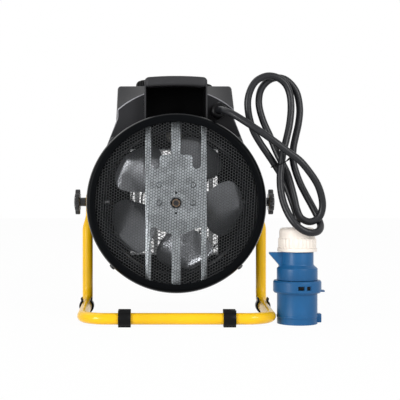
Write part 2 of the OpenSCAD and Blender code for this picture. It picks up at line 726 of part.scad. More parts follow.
// Sheet duct with a rounded mouth behind the fan and a flange against the drum in front,
// clear of the pivot nuts
module fan_duct() {
    color([0.13, 0.13, 0.14]) at_axis() difference() {
        translate([0, duct_back, 0]) forward() rotate_extrude($fn = round_fn) {
            translate([duct_r, duct_mouth_r]) square([sheet_t, duct_l - duct_mouth_r]);
            translate([duct_r, duct_l - sheet_t]) square([drum_in_r - duct_r - seat, sheet_t]);
            translate([drum_in_r - seat - sheet_t, duct_l - 4 * sheet_t]) square([sheet_t, 4 * sheet_t]);
            intersection() {
                translate([duct_r + duct_mouth_r, duct_mouth_r]) difference() {
                    circle(duct_mouth_r, $fn = round_fn);
                    circle(duct_mouth_r - sheet_t, $fn = round_fn);
                }
                translate([duct_r, 0]) square([duct_mouth_r, duct_mouth_r]);
            }
        }
        both_sides() outward() disc(nut_flange_r + seat, drum_r);
    }
}

// HEATER BLOCK
heater_y = heater_place + sheet_t + seat;
window_w = heater_w - 2 * heater_end_h * 0.35;
window_h = heater_h - 2 * heater_end_h * 0.8;
plate_rim_l = 5 * sheet_t;
cutout_h = (window_h / 2 + drum_in_r) / 2;
cutout_r = (drum_in_r - window_h / 2) * 0.3;
module heater_plate() {
    color([0.6, 0.62, 0.62]) at_axis() translate([0, heater_place, 0]) {
        upright(sheet_t) difference() {
            circle(drum_in_r - seat, $fn = round_fn);
            square([window_w, window_h], center = true);
            for (s = [-1, 1]) translate([s * (heater_w / 2 + 3 * screw_r), 0]) circle(screw_r + run, $fn = round_fn);
            translate([0, cutout_h]) circle(cutout_r * 0.6, $fn = round_fn);
        }
        forward() ring(drum_in_r - seat, drum_in_r - seat - sheet_t, plate_rim_l);
    }
}
module_w = (heater_w - (heater_bars - 1) * heater_gap) / heater_bars;
fin_w = (module_w - heater_bar_w) / 2 - run;
// Moulded end blocks with a pocket for each heater bar, joined to the plate by side lugs
module heater_ends() {
    color([0.85, 0.83, 0.78]) at_axis() translate([0, heater_y, 0]) for (s = [0, 1]) mirror([0, 0, s])
        difference() {
            intersection() {
                translate([-heater_w / 2, 0, heater_h / 2 - heater_end_h])
                    cube([heater_w, heater_depth, heater_end_h]);
                forward() disc(drum_in_r - seat, heater_depth);
            }
            for (i = [0 : heater_bars - 1]) translate([heater_module_x(i) - heater_bar_w / 2 - run,
                    heater_depth / 4 - run, heater_h / 2 - heater_end_h - over])
                cube([heater_bar_w + 2 * run, heater_depth / 2 + 2 * run, heater_end_h * 0.6 + over]);
            for (i = [1 : heater_bars - 1]) translate([heater_module_x(i) - module_w / 2 - heater_gap, -over,
                    heater_h / 2 - heater_end_h * 0.3]) cube([heater_gap, heater_depth + 2 * over, heater_end_h]);
        }
}
function heater_module_x(i) = -heater_w / 2 + module_w / 2 + i * (module_w + heater_gap);
module heater_bars() {
    bar_h = heater_h - 2 * heater_end_h + heater_end_h * 1.1;
    color([0.75, 0.76, 0.78]) at_axis() for (i = [0 : heater_bars - 1])
        translate([heater_module_x(i) - heater_bar_w / 2, heater_y + heater_depth / 4, -bar_h / 2])
            cube([heater_bar_w, heater_depth / 2, bar_h]);
}
// Corrugated strips, folded from side to side against the bars
fin_h = heater_h - 2 * heater_end_h - 2 * seat;
fin_folds = 2 * floor(fin_h / fin_pitch);
fin_rise = fin_h / fin_folds;
fin_level_t = fin_t * norm([fin_w, fin_rise]) / fin_rise;
module fin_strip(side) {
    up = [for (i = [0 : fin_folds]) [side * (i % 2) * (fin_w - fin_level_t), i * fin_rise]];
    down = [for (i = [fin_folds : -1 : 0])
        [side * (fin_level_t + (i % 2) * (fin_w - fin_level_t)), i * fin_rise]];
    upright(heater_depth - 2 * fin_t) polygon(concat(up, down));
}
module heater_fins() {
    color([0.8, 0.81, 0.82]) at_axis() for (i = [0 : heater_bars - 1], s = [-1, 1])
        translate([heater_module_x(i) + s * (heater_bar_w / 2 + run), heater_y + fin_t, -fin_h / 2]) fin_strip(s);
}
terminal_w = 1.1 * heater_bar_w;
module heater_terminals() {
    color([0.75, 0.7, 0.5]) at_axis() for (i = [0 : heater_bars - 1])
        translate([heater_module_x(i) - terminal_w / 2, heater_y + heater_depth + run, (heater_h - heater_end_h) / 2])
            cube([terminal_w, heater_end_h, sheet_t]);
}
// Bimetal thermostat with a flange and two blades, on the plate over the heater
module thermal_cutout() {
    color([0.8, 0.78, 0.7]) at_axis() translate([0, heater_place - run, cutout_h]) rotate([90, 0, 0]) {
        disc(cutout_r, cutout_r);
        translate([0, 0, cutout_r]) disc(cutout_r * 0.75, cutout_r / 2);
        for (s = [-1, 1]) translate([s * cutout_r / 2 - sheet_t / 2, -terminal_w / 2, cutout_r])
            cube([sheet_t, terminal_w, cutout_r * 1.3]);
    }
}

// HOOD
saddle_r = drum_r + drum_bead_h + seat;
arch_mid_h = arch_top_h - arch_r;
ridge_drop_share = 0.25;
edge_r = 1.6 * hood_wall;
panel_slope = atan((ridge_h - hood_front_h) / (ridge_rear + hood_front));
slice = hood_wall / 25;
arch_steps = 14;
// Rear section of the hood: straight sides under an arched top, drawn in by a margin
function arch_section(m) = let (r = arch_r - m, x = hood_half_w - hood_wall * 0.7 - m, a = asin(x / r)) concat(
    [[x, flare_h - 2 * hood_wall], [x, arch_mid_h + r * cos(a)]],
    [for (i = [1 : arch_steps - 1]) let (t = a - 2 * a * i / arch_steps) [r * sin(t), arch_mid_h + r * cos(t)]],
    [[-x, arch_mid_h + r * cos(a)], [-x, flare_h - 2 * hood_wall]]);
// Square-topped section of the hood with small rounded corners
function square_section(half_low, half_top, top, m) = let (c = edge_r) concat(
    [[half_low - m, flare_h - 2 * hood_wall], [half_top - m, top - c - m],
     [half_top - m - c * 0.3, top - m - c * 0.3], [half_top - m - c, top - m]],
    [[-half_top + m + c, top - m], [-half_top + m + c * 0.3, top - m - c * 0.3],
     [-half_top + m, top - c - m], [-half_low + m, flare_h - 2 * hood_wall]]);
module section_at(y, points) { translate([0, y, 0]) upright(slice) polygon(points); }
module hood_loft(m) {
    low_half = hood_half_w + hood_wall;
    hull() {
        section_at(-hood_rear + m, arch_section(m + (m == 0 ? edge_r * 0.4 : 0)));
        section_at(-hood_rear + m + edge_r * 0.4, arch_section(m));
        section_at(-ridge_rear, square_section(low_half, hood_half_w, ridge_h, m));
    }
    hull() {
        section_at(-ridge_rear, square_section(low_half, hood_half_w, ridge_h, m));
        section_at(hood_front - m - slice, square_section(low_half, hood_half_w, hood_front_h, m));
    }
}
skirt_low_h = sqrt(saddle_r * saddle_r - skirt_half_w * skirt_half_w) - 2 * hood_wall;
module hood_skirts(m) {
    w = hood_half_w - hood_wall * 0.7 - m;
    translate([0, -hood_rear + m, 0]) upright(hood_front + hood_rear - 2 * m)
        polygon([[w, flare_h + hood_wall], [w, flare_h], [skirt_half_w - m, skirt_low_h],
            [-skirt_half_w + m, skirt_low_h], [-w, flare_h], [-w, flare_h + hood_wall]]);
}
// The panel's own frame: its middle line runs down the slope from the ridge, and height is square to the panel
module on_panel() {
    at_axis() translate([0, -ridge_rear, ridge_h]) rotate([-panel_slope, 0, 0]) children();
}
panel_half_w = hood_half_w - 3 * hood_wall;
panel_start = 2 * hood_wall;
panel_l = (ridge_rear + hood_front) / cos(panel_slope) - 4 * hood_wall;
panel_ledge = 2 * hood_wall;
handle_half = handle_w / 2;
gland_bore_r = gland_af * 0.36;
module hood_shell() {
    color([0.19, 0.19, 0.2]) difference() {
        at_axis() difference() {
            union() {
                hood_loft(0);
                hood_skirts(0);
            }
            hood_loft(hood_wall);
            hood_skirts(hood_wall);
            translate([0, -drum_d, 0]) forward() disc(saddle_r, 2 * drum_d);
            translate([-handle_half - seat, -handle_rear - over, 0])
                cube([handle_w + 2 * seat, handle_l + seat + over, 2 * ridge_h]);
            translate([gland_x, -hood_rear - over, gland_h]) forward() disc(gland_bore_r + seat, hood_wall + 2 * over);
        }
        on_panel() {
            translate([-panel_half_w - seat, panel_start - seat, -panel_t])
                cube([2 * (panel_half_w + seat), panel_l + 2 * seat, drum_d]);
            translate([-panel_half_w + panel_ledge, panel_start + panel_ledge, -3 * hood_wall])
                cube([2 * (panel_half_w - panel_ledge), panel_l - 2 * panel_ledge, drum_d]);
        }
    }
}
dial_down = 0.33 * panel_l;
lamp_down = 0.68 * panel_l;
panel_screw_in = 1.4 * screw_head_r;
module at_panel_corners() {
    for (s = [-1, 1], y = [panel_screw_in, panel_l - panel_screw_in])
        translate([s * (panel_half_w - panel_screw_in), panel_start + y, 0]) children();
}
// The panel lies in the hood's top and meets the handle's front end with a notch
module control_panel() {
    color([0.13, 0.13, 0.14]) on_panel() difference() {
        translate([-panel_half_w, panel_start, -panel_t + seat]) linear_extrude(panel_t - seat)
            rounded_bar(2 * panel_half_w, panel_l, edge_r);
        for (s = [-1, 1]) translate([s * dial_x, dial_down, -panel_t]) disc(spindle_d / 2 + run, 2 * panel_t);
        translate([0, lamp_down, -panel_t]) disc(lamp_d / 2 + run, 2 * panel_t);
        at_panel_corners() translate([0, 0, -panel_t]) disc(screw_r + run, 2 * panel_t);
    }
}
module panel_screws() {
    color([0.3, 0.3, 0.3]) on_panel() at_panel_corners() translate([0, 0, run]) pan_screw(panel_t);
}
switch_w = 0.95 * dial_d;
switch_h = 0.51 * (ridge_h - drum_r);
module control_body(x, depth) {
    on_panel() translate([x, dial_down, -panel_t - depth]) difference() {
        union() {
            translate([-switch_w / 2, -switch_w / 2, 0]) cube([switch_w, switch_w, depth]);
            translate([-switch_w * 0.35, -switch_w * 0.35, -spindle_d]) for (i = [0, 1], j = [0, 1])
                translate([i * switch_w * 0.6, j * switch_w * 0.6, 0]) cube([terminal_w, sheet_t, spindle_d + run]);
        }
        translate([0, 0, depth / 2]) disc(spindle_d / 2 + run, depth);
    }
}
module selector_switch() { color([0.85, 0.85, 0.8]) control_body(-dial_x, switch_h); }
module thermostat_body() { color([0.7, 0.7, 0.72]) control_body(dial_x, switch_h * 0.8); }
module pilot_lamp() {
    color([0.9, 0.35, 0.1]) on_panel() translate([0, lamp_down, 0]) {
        translate([0, 0, run]) cylinder(h = lamp_d * 0.25, r1 = lamp_d * 0.65, r2 = lamp_d * 0.45, $fn = round_fn);
        translate([0, 0, -lamp_d]) disc(lamp_d / 2, lamp_d + run);
    }
}
// Knob with a skirt, a fluted grip, a raised cap and a mark towards the scale
dial_flutes = 12;
module dial(height) {
    skirt = height * 0.22;
    grip_r = dial_d * 0.42;
    flute_r = grip_r * 0.18;
    cap_r = grip_r - flute_r;
    difference() {
        union() {
            disc(dial_d / 2, skirt);
            linear_extrude(height * 0.88) difference() {
                circle(grip_r, $fn = round_fn);
                for (k = [0 : dial_flutes - 1]) rotate((k + 1 / 2) * 360 / dial_flutes)
                    translate([grip_r + flute_r * 0.3, 0]) circle(flute_r, $fn = round_fn);
            }
            translate([0, 0, height * 0.8])
                cylinder(h = height * 0.2, r1 = cap_r, r2 = cap_r * 0.88, $fn = round_fn);
        }
        translate([-sheet_t / 2, cap_r / 3, height - sheet_t / 2]) cube([sheet_t, dial_d, height]);
        translate([0, 0, -over]) disc(spindle_d / 2 + run / 2, height * 0.6 + over);
    }
}
dial_seat = seat;
module selector_knob() {
    color([0.07, 0.07, 0.08]) on_panel() translate([-dial_x, dial_down, dial_seat]) dial(selector_h - dial_seat);
}
module thermostat_knob() {
    color([0.07, 0.07, 0.08]) on_panel() translate([dial_x, dial_down, dial_seat]) dial(thermostat_h - dial_seat);
}
module spindle(x, depth, height) {
    color([0.8, 0.8, 0.8]) on_panel() translate([x, dial_down, -panel_t - depth / 2 + seat])
        disc(spindle_d / 2, panel_t + depth / 2 + height / 2);
}
module selector_spindle() { spindle(-dial_x, switch_h, selector_h); }
module thermostat_spindle() { spindle(dial_x, switch_h * 0.8, thermostat_h); }
block_w = 3.2 * cord_d;
block_h = 1.6 * cord_d;
block_turn = asin(0.85 * gland_x / saddle_r);
// Terminal block on the drum, under the hood, with a wire hole through each of its three ways
module terminal_block() {
    color([0.9, 0.9, 0.86]) at_axis() rotate([0, block_turn, 0]) translate([0, -ridge_rear - cord_d, drum_r + run])
        difference() {
            translate([-block_w / 2, 0, 0]) cube([block_w, 2 * cord_d, block_h]);
            for (i = [-1, 0, 1]) translate([i * block_w * 0.3, -over, block_h * 0.4])
                forward() disc(cord_d * 0.2, 2 * cord_d + 2 * over);
        }
}

// CARRYING HANDLE
crown_r = (handle_half * handle_half + grip_crown * grip_crown) / (2 * grip_crown);
crown_mid = handle_top_h - crown_r;
end_wall_y = -handle_rear + handle_l - handle_wall;
roof_t = 1.8 * handle_wall;
// An arched band of a given thickness under the handle's crowned top
module crowned(y, l, t) {
    intersection() {
        translate([0, y, crown_mid]) forward() ring(crown_r, crown_r - t, l);
        translate([-handle_half, y, 0]) cube([handle_w, l, 2 * handle_top_h]);
    }
}
module carry_handle() {
    color([0.22, 0.22, 0.23]) at_axis() difference() {
        union() {
            difference() {
                crowned(-handle_rear, grip_l, grip_h);
                for (z = [0, 1]) translate([0, -handle_rear, handle_top_h - z * (grip_h + grip_crown)])
                    rotate([45, 0, 0]) cube([2 * handle_w, grip_crown, grip_crown], center = true);
            }
            crowned(-handle_rear + grip_l / 2, handle_l - grip_l / 2, roof_t);
            both_sides() translate([handle_half - handle_wall, -handle_rear + grip_crown, 0])
                cube([handle_wall, handle_l - grip_crown, handle_top_h - 2 * grip_crown - roof_t / 2]);
            translate([-handle_half, end_wall_y, 0]) cube([handle_w, handle_wall, handle_top_h - 2 * roof_t]);
        }
        translate([0, -drum_d, 0]) forward() disc(saddle_r, 2 * drum_d);
        for (s = [-1, 1]) translate([s * handle_half, 0, handle_top_h]) rotate([0, 45, 0])
            cube([2 * grip_crown, 3 * handle_rear, 2 * grip_crown], center = true);
    }
}

// GLAND
gland_flange_t = 0.25 * gland_af;
cord_r = cord_d / 2;
cord_bore_r = cord_r + 0.05 * cord_d;
module at_gland() { at_axis() translate([gland_x, -hood_rear, gland_h]) rotate([90, 0, 0]) children(); }
// Body that passes the hood's wall, with its flange outside and its lock nut inside
module gland_body() {
    thread_l = hood_wall + seat;
    color([0.08, 0.08, 0.08]) at_gland() difference() {
        union() {
            translate([0, 0, seat]) hexagon(gland_af, gland_flange_t);
            translate([0, 0, -thread_l]) disc(gland_bore_r, thread_l + gland_flange_t);
            translate([0, 0, -thread_l - gland_flange_t]) hexagon(gland_af * 1.1, gland_flange_t);
        }
        translate([0, 0, -gland_af]) disc(cord_bore_r, 3 * gland_af);
    }
}
module gland_nut() {
    start = gland_flange_t + 2 * seat;
    color([0.07, 0.07, 0.07]) at_gland() difference() {
        intersection() {
            translate([0, 0, start]) hexagon(gland_af, gland_nut_l);
            translate([0, 0, start]) union() {
                disc(gland_af, gland_nut_l * 0.55);
                translate([0, 0, gland_nut_l * 0.55])
                    cylinder(h = gland_nut_l * 0.45, r1 = gland_af * 0.58, r2 = gland_af * 0.36, $fn = round_fn);
            }
        }
        translate([0, 0, start - over]) disc(gland_bore_r, gland_nut_l * 0.6 + over);
        translate([0, 0, start]) disc(cord_bore_r, gland_af);
    }
}
module gland_seal() {
    start = gland_flange_t + 2 * seat;
    color([0.15, 0.15, 0.15]) at_gland() translate([0, 0, start])
        ring(gland_bore_r - run, cord_bore_r, gland_nut_l * 0.55);
}

// PIVOT
nut_flange_r = 1.5 * bolt_d;
washer_t = 0.25 * bolt_d;
ear_in = leg_x - ear_t / 2;
ear_out = leg_x + ear_t / 2;
washer_x = ear_in - seat - washer_t;
// Rivet nuts through the drum's sides, flange outside and collar inside, threaded for the pivot bolts
module pivot_nuts() {
    flange_x = drum_r + seat;
    collar_t = neck_r / 2;
    color([0.6, 0.6, 0.6]) at_axis() both_sides() outward() difference() {
        union() {
            translate([0, 0, flange_x]) disc(nut_flange_r, washer_x - seat - flange_x);
            translate([0, 0, drum_in_r - 2 * collar_t]) disc(neck_r, flange_x - drum_in_r + 2 * collar_t);
            translate([0, 0, drum_in_r - 3 * collar_t]) disc(nut_flange_r * 0.9, 2 * collar_t);
        }
        translate([0, 0, drum_r / 2]) disc(pivot_bore_r, drum_r);
    }
}
module pivot_washers() {
    color([0.1, 0.1, 0.1]) at_axis() both_sides() outward()
        translate([0, 0, washer_x]) ring(nut_flange_r, pivot_bore_r, washer_t);
}
hub_x = ear_out + seat;
head_x = hub_x + knob_hub_l;
knob_r = knob_d / 2;
lobe_r = knob_r * sin(180 / knob_lobes) * 0.62;
bolt_in = drum_in_r - 2 * nut_flange_r;
// Star knob: rounded lobes round a core, a shallow dome outside and a round hub towards the ear
module clamp_knob() {
    color([0.06, 0.06, 0.06]) outward() difference() {
        union() {
            translate([0, 0, hub_x]) disc(knob_hub_d / 2, knob_hub_l + knob_t / 2);
            intersection() {
                translate([0, 0, head_x]) union() {
                    disc(knob_r * 0.72, knob_t);
                    for (k = [0 : knob_lobes - 1]) rotate(k * 360 / knob_lobes)
                        translate([knob_r - lobe_r, 0, 0]) disc(lobe_r, knob_t);
                }
                translate([0, 0, head_x]) union() {
                    cylinder(h = knob_t / 4, r1 = knob_r * 0.92, r2 = knob_r, $fn = round_fn);
                    translate([0, 0, knob_t / 4]) disc(knob_r, knob_t / 3);
                    translate([0, 0, knob_t * 7 / 12])
                        cylinder(h = knob_t * 5 / 12, r1 = knob_r, r2 = knob_r * 0.7, $fn = round_fn);
                }
            }
        }
        for (k = [0 : knob_lobes - 1]) rotate((k + 1 / 2) * 360 / knob_lobes)
            translate([knob_r * 1.02, 0, head_x - over]) disc(lobe_r * 0.8, knob_t + 2 * over);
        translate([0, 0, hub_x - over]) disc(bolt_d / 2 + run / 2, knob_hub_l + knob_t * 0.6 + over);
    }
}
module pivot_bolt() {
    color([0.7, 0.7, 0.7]) outward() translate([0, 0, bolt_in]) disc(bolt_d / 2, head_x + knob_t / 2 - bolt_in);
}
module left_clamp_knob() { at_axis() mirror([1, 0, 0]) clamp_knob(); }
module left_pivot_bolt() { at_axis() mirror([1, 0, 0]) pivot_bolt(); }
module right_clamp_knob() { at_axis() clamp_knob(); }
module right_pivot_bolt() { at_axis() pivot_bolt(); }

// PLUG
plug_blue = [0.16, 0.36, 0.62];
shroud_r = shroud_d / 2;
collar_top = shroud_h + collar_h;
body_top = collar_top + plug_body_h;
shoulder_h = (plug_body_d - plug_neck_d) / 2;
neck_top = body_top + shoulder_h + plug_neck_h;
nut_low = neck_top + seat;
nut_top = nut_low + nut_flange_h + nut_band_h + nut_dome_h;
module at_plug() { translate([plug_x, -plug_rear, 0]) children(); }
// Round shroud with a bead near its mouth, a key rib, and a collar with two latch windows at the back
key_w = 0.22 * shroud_d;
key_out = 0.09 * shroud_d;
module plug_shroud() {
    window_h = collar_h * 0.22;
    color(plug_blue) at_plug() difference() {
        union() {
            disc(shroud_r, shroud_h);
            translate([0, 0, shroud_h * 0.2]) ring(shroud_r + shroud_wall / 5, shroud_r - over, shroud_wall * 0.8);
            translate([shroud_r - shroud_wall, -key_w / 2, shroud_h * 0.08])
                cube([key_out + shroud_wall, key_w, shroud_h * 0.26]);
            translate([0, 0, shroud_h]) {
                cylinder(h = collar_h * 0.12, d1 = collar_d - shroud_wall, d2 = collar_d, $fn = round_fn);
                translate([0, 0, collar_h * 0.12]) disc(collar_d / 2, collar_h * 0.76);
                translate([0, 0, collar_h * 0.88])
                    cylinder(h = collar_h * 0.12, d1 = collar_d, d2 = collar_d - shroud_wall, $fn = round_fn);
            }
            translate([collar_d / 2 - shroud_wall, -key_w / 2, shroud_h])
                cube([key_out + shroud_wall / 2, key_w, collar_h * 0.25]);
        }
        translate([0, 0, -over]) disc(shroud_r - shroud_wall, collar_top + 2 * over);
        for (a = [-82, -62]) rotate(a) translate([collar_d / 2 - shroud_wall, -window_h, shroud_h + collar_h * 0.36])
            cube([collar_d, 2 * window_h, window_h]);
    }
}
// Body: shoulder, neck and the hook that a socket's lid catches on
hook_out = 0.66 * (collar_d - plug_neck_d);
module plug_body() {
    low = collar_top + seat;
    color(plug_blue) at_plug() difference() {
        union() {
            translate([0, 0, low]) disc(plug_body_d / 2, body_top - low);
            translate([0, 0, body_top])
                cylinder(h = shoulder_h, d1 = plug_body_d, d2 = plug_neck_d, $fn = round_fn);
            translate([0, 0, body_top + shoulder_h]) disc(plug_neck_d / 2, plug_neck_h);
            translate([0, key_w / 2, 0]) rotate([90, 0, 0]) linear_extrude(key_w) difference() {
                polygon([[-plug_neck_d / 3, neck_top], [-plug_neck_d / 2 - hook_out, neck_top],
                    [-plug_neck_d / 2 - hook_out, neck_top - shoulder_h / 2],
                    [-plug_neck_d / 2, body_top + shoulder_h / 2], [-plug_neck_d / 3, body_top]]);
            }
        }
        translate([0, 0, low - over]) disc(plug_body_d / 2 - shroud_wall, body_top - low + over);
        translate([0, 0, low]) disc(plug_neck_d / 2 - shroud_wall, neck_top);
    }
}
// Carrier that holds the three pins, and the pins that stand in the shroud
pin_ring_r = 0.43 * (shroud_r - shroud_wall) + pin_d / 4;
pin_angles = [-150, -30];
earth_angle = 90;
carrier_low = shroud_h * 0.92;
carrier_r = shroud_r - shroud_wall - seat;
module plug_carrier() {
    color([0.1, 0.1, 0.12]) at_plug() difference() {
        translate([0, 0, carrier_low]) disc(carrier_r, collar_top - carrier_low);
        for (a = pin_angles) rotate(a) translate([pin_ring_r, 0, 0]) disc(pin_d / 2 + run, neck_top);
        rotate(earth_angle) translate([pin_ring_r, 0, 0]) disc(earth_pin_d / 2 + run, neck_top);
    }
}
pin_low = shroud_h * 0.14;
module plug_pin(angle, d) {
    rotate(angle) translate([pin_ring_r, 0, pin_low]) {
        cylinder(h = d / 3, d1 = d * 0.6, d2 = d, $fn = round_fn);
        translate([0, 0, d / 3]) disc(d / 2, collar_top + d - pin_low - d / 3);
    }
}
module plug_pins() {
    color([0.85, 0.75, 0.45]) at_plug() {
        for (a = pin_angles) plug_pin(a, pin_d);
        plug_pin(earth_angle, earth_pin_d);
    }
}
// Domed gland nut with a flange and a ribbed band
nut_ribs = 30;
dome_round = nut_dome_h * 0.6;
module plug_nut() {
    band_low = nut_low + nut_flange_h;
    dome_low = band_low + nut_band_h;
    rib_r = PI * nut_band_d / nut_ribs * 0.25;
    color([0.93, 0.91, 0.86]) at_plug() difference() {
        union() {
            translate([0, 0, nut_low]) disc(nut_flange_d / 2, nut_flange_h);
            translate([0, 0, band_low]) disc(nut_band_d / 2 - rib_r, nut_band_h);
            for (k = [0 : nut_ribs - 1]) rotate(k * 360 / nut_ribs)
                translate([nut_band_d / 2 - rib_r, 0, band_low]) disc(rib_r, nut_band_h - rib_r);
            translate([0, 0, dome_low]) rotate_extrude($fn = round_fn) {
                square([nut_dome_d / 2, nut_dome_h - dome_round]);
                square([nut_dome_d / 2 - dome_round, nut_dome_h]);
                translate([nut_dome_d / 2 - dome_round, nut_dome_h - dome_round]) circle(dome_round, $fn = round_fn);
            }
        }
        translate([0, 0, nut_low - over]) disc(plug_neck_d / 2 - shroud_wall, nut_flange_h + over);
        translate([0, 0, nut_low - over]) disc(cord_bore_r, nut_top);
    }
}

// CORD
// Places along the cord's middle, from inside the gland, through two loose loops, into the plug's nut
lead_route = [[48, -68, 235], [48, -76, 235], [49, -85, 234.5], [53, -95, 232.5], [61, -102, 228.5],
    [71, -106, 222], [82, -109, 214.5], [94.5, -111, 206], [107.5, -112, 196.5], [120, -112, 187]];
hank_route = [[120, -112, 187], [132.5, -112, 177.5], [143, -110, 165.5], [151.5, -108, 153], [156.5, -106, 140],
    [158, -104.5, 127.5], [154.5, -103.5, 116.5], [145, -102, 111.5], [135.5, -100, 115.5], [131, -98, 125.5],
    [128.5, -95, 138], [125.5, -92, 151], [122, -90, 163.5], [117, -88, 174.5], [111, -85, 187],
    [104, -81, 205], [96.5, -79, 222.5], [92, -79, 239], [92.5, -79, 252.5], [96.5, -79, 261.5],
    [103.5, -79, 268], [112, -79, 270.5], [121, -79, 268.5], [129, -79, 261.5], [134.5, -79, 251.5],
    [137, -79, 235.5], [135.5, -80, 220], [132, -81, 204.5], [129.5, -82, 192.5], [129, -83, 179],
    [132, -84, 166], [137, -85, 152.5], [143.5, -86, 139.5], [150, -88, 127], [155, -91.5, 116],
    [157, -98, 107], [153, -107, 101.5], [145, -113, 100], [136, -115.5, 102.5], [128, -115, 108.5],
    [121.5, -112, 117.5], [116, -108, 130.5], [113, -104, 145], [112.5, -101, 160], [114, -99, 173],
    [116.5, -97, 187.5], [120, -94, 200.5], [124, -91, 217.5], [126, -89, 235], [125, -88, 250.5],
    [120.5, -88, 262], [112.5, -88, 269], [104, -88, 271.5], [96, -88, 270.5], [87.5, -88, 265.5],
    [81.5, -88, 256], [78.5, -88, 243], [80, -87, 227.5], [85, -85, 211.5], [92.5, -83, 198.5],
    [100, -82, 187.5], [107.5, -81, 176.5], [115, -81, 164.5], [122, -83, 149.5], [127, -86, 135],
    [131, -89.5, 122], [132.5, -91, 114], [132.5, -91, 109], [132.5, -91, 104]];
whole_route = concat(lead_route, [for (i = [1 : len(hank_route) - 1]) hank_route[i]]);
// A smooth curve through the places: the point at a share u between place i and the next
function place(i) = i < 0 ? 2 * whole_route[0] - whole_route[1]
    : i >= len(whole_route) ? 2 * whole_route[len(whole_route) - 1] - whole_route[len(whole_route) - 2]
    : whole_route[i];
function along(i, u) = let (a = place(i - 1), b = place(i), c = place(i + 1), d = place(i + 2))
    (2 * b + (c - a) * u + (2 * a - 5 * b + 4 * c - d) * u * u + (3 * b - a - 3 * c + d) * u * u * u) / 2;
function heading(i, u) = let (a = place(i - 1), b = place(i), c = place(i + 1), d = place(i + 2))
    unit((c - a) + (2 * a - 5 * b + 4 * c - d) * 2 * u + (3 * b - a - 3 * c + d) * 3 * u * u);
module cord_tube(first, last, sides) {
    swept_tube([for (i = [first : last]) [along(i, 0), heading(i, 0)]], cord_r, sides);
}
lead_end = len(lead_route) - 1;
route_end = len(whole_route) - 1;
module cord_lead() { color([0.2, 0.2, 0.21]) cord_tube(0, lead_end, 8); }
module cord_hank() { color([0.2, 0.2, 0.21]) cord_tube(lead_end, route_end, 6); }
// Least gap of the cord to itself, measured between points more than three diameters apart along it
gap_points = [for (i = [0 : route_end - 1], u = [0 : 3]) along(i, u / 4)];
gap_skip = 14;
least_gap = min([for (i = [0 : len(gap_points) - gap_skip - 1]) min([for (j = [i + gap_skip : len(gap_points) - 1])
    norm(gap_points[i] - gap_points[j])])]) - cord_d;
cord_length = len([for (i = [1 : len(gap_points) - 1]) 0]) == 0 ? 0
    : [for (i = 1, s = 0; i <= len(gap_points); s = i < len(gap_points)
        ? s + norm(gap_points[i] - gap_points[i - 1]) : s, i = i + 1) s][len(gap_points) - 1];
echo(least_gap_of_the_hank_to_itself = least_gap, cord_length = cord_length);

// Thin wire tie round three strands at the waist of the loops, an oval whose ends don't meet
tie_place = [112, -90, 174];
tie_lean = 22;
tie_turn = 15;
tie_half_w = 1.32 * cord_d;
tie_half_d = 1.91 * cord_d;
tie_wire_r = 0.09 * cord_d;
tie_steps = 40;
function tie_angle(k) = 5 + 350 * k / tie_steps;
module hank_tie() {
    color([0.12, 0.12, 0.12]) translate(tie_place) rotate([0, -tie_lean, 0]) rotate(tie_turn)
        swept_tube([for (k = [0 : tie_steps]) let (c = cos(tie_angle(k)), s = sin(tie_angle(k)))
            [[tie_half_w * c, tie_half_d * s, 0], unit([-tie_half_w * s, tie_half_d * c, 0])]], tie_wire_r, 8);
}

stand_tube();
rear_foot_clips();
front_foot_clips();
drum_shell();
rear_ring();
rear_mesh();
rear_ring_screws();
front_ring();
front_guard();
front_ring_screws();
motor_bracket();
bracket_rivets();
motor_rear_cover();
motor_front_cover();
stator_core();
stator_windings();
motor_bushes();
fan_duct();
rotor();
motor_shaft();
fan_wheel();
fan_hub();
fan_nut();
heater_plate();
heater_ends();
heater_bars();
heater_fins();
heater_terminals();
thermal_cutout();
hood_shell();
control_panel();
panel_screws();
selector_switch();
thermostat_body();
pilot_lamp();
terminal_block();
selector_knob();
selector_spindle();
thermostat_knob();
thermostat_spindle();
carry_handle();
gland_body();
gland_nut();
gland_seal();
pivot_nuts();
pivot_washers();
left_clamp_knob();
left_pivot_bolt();
right_clamp_knob();
right_pivot_bolt();
plug_shroud();
plug_body();
plug_carrier();
plug_pins();
plug_nut();
cord_lead();
cord_hank();
hank_tie();
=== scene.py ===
"""Looks of a portable forced air heater: sheet drum, plastic hood and handle, bent tube stand, cord and plug.

Sizes are in millimetres in the drawing functions, and piece() turns them into metres.
Pieces on the drum are drawn round its axis: x to the right, y forward from the tilt pivot,
and z up from the axis.
"""

import json
from math import acos, atan2, cos, pi, radians, sin, sqrt, tan

import bpy
import numpy as np
from mathutils import Matrix, Vector

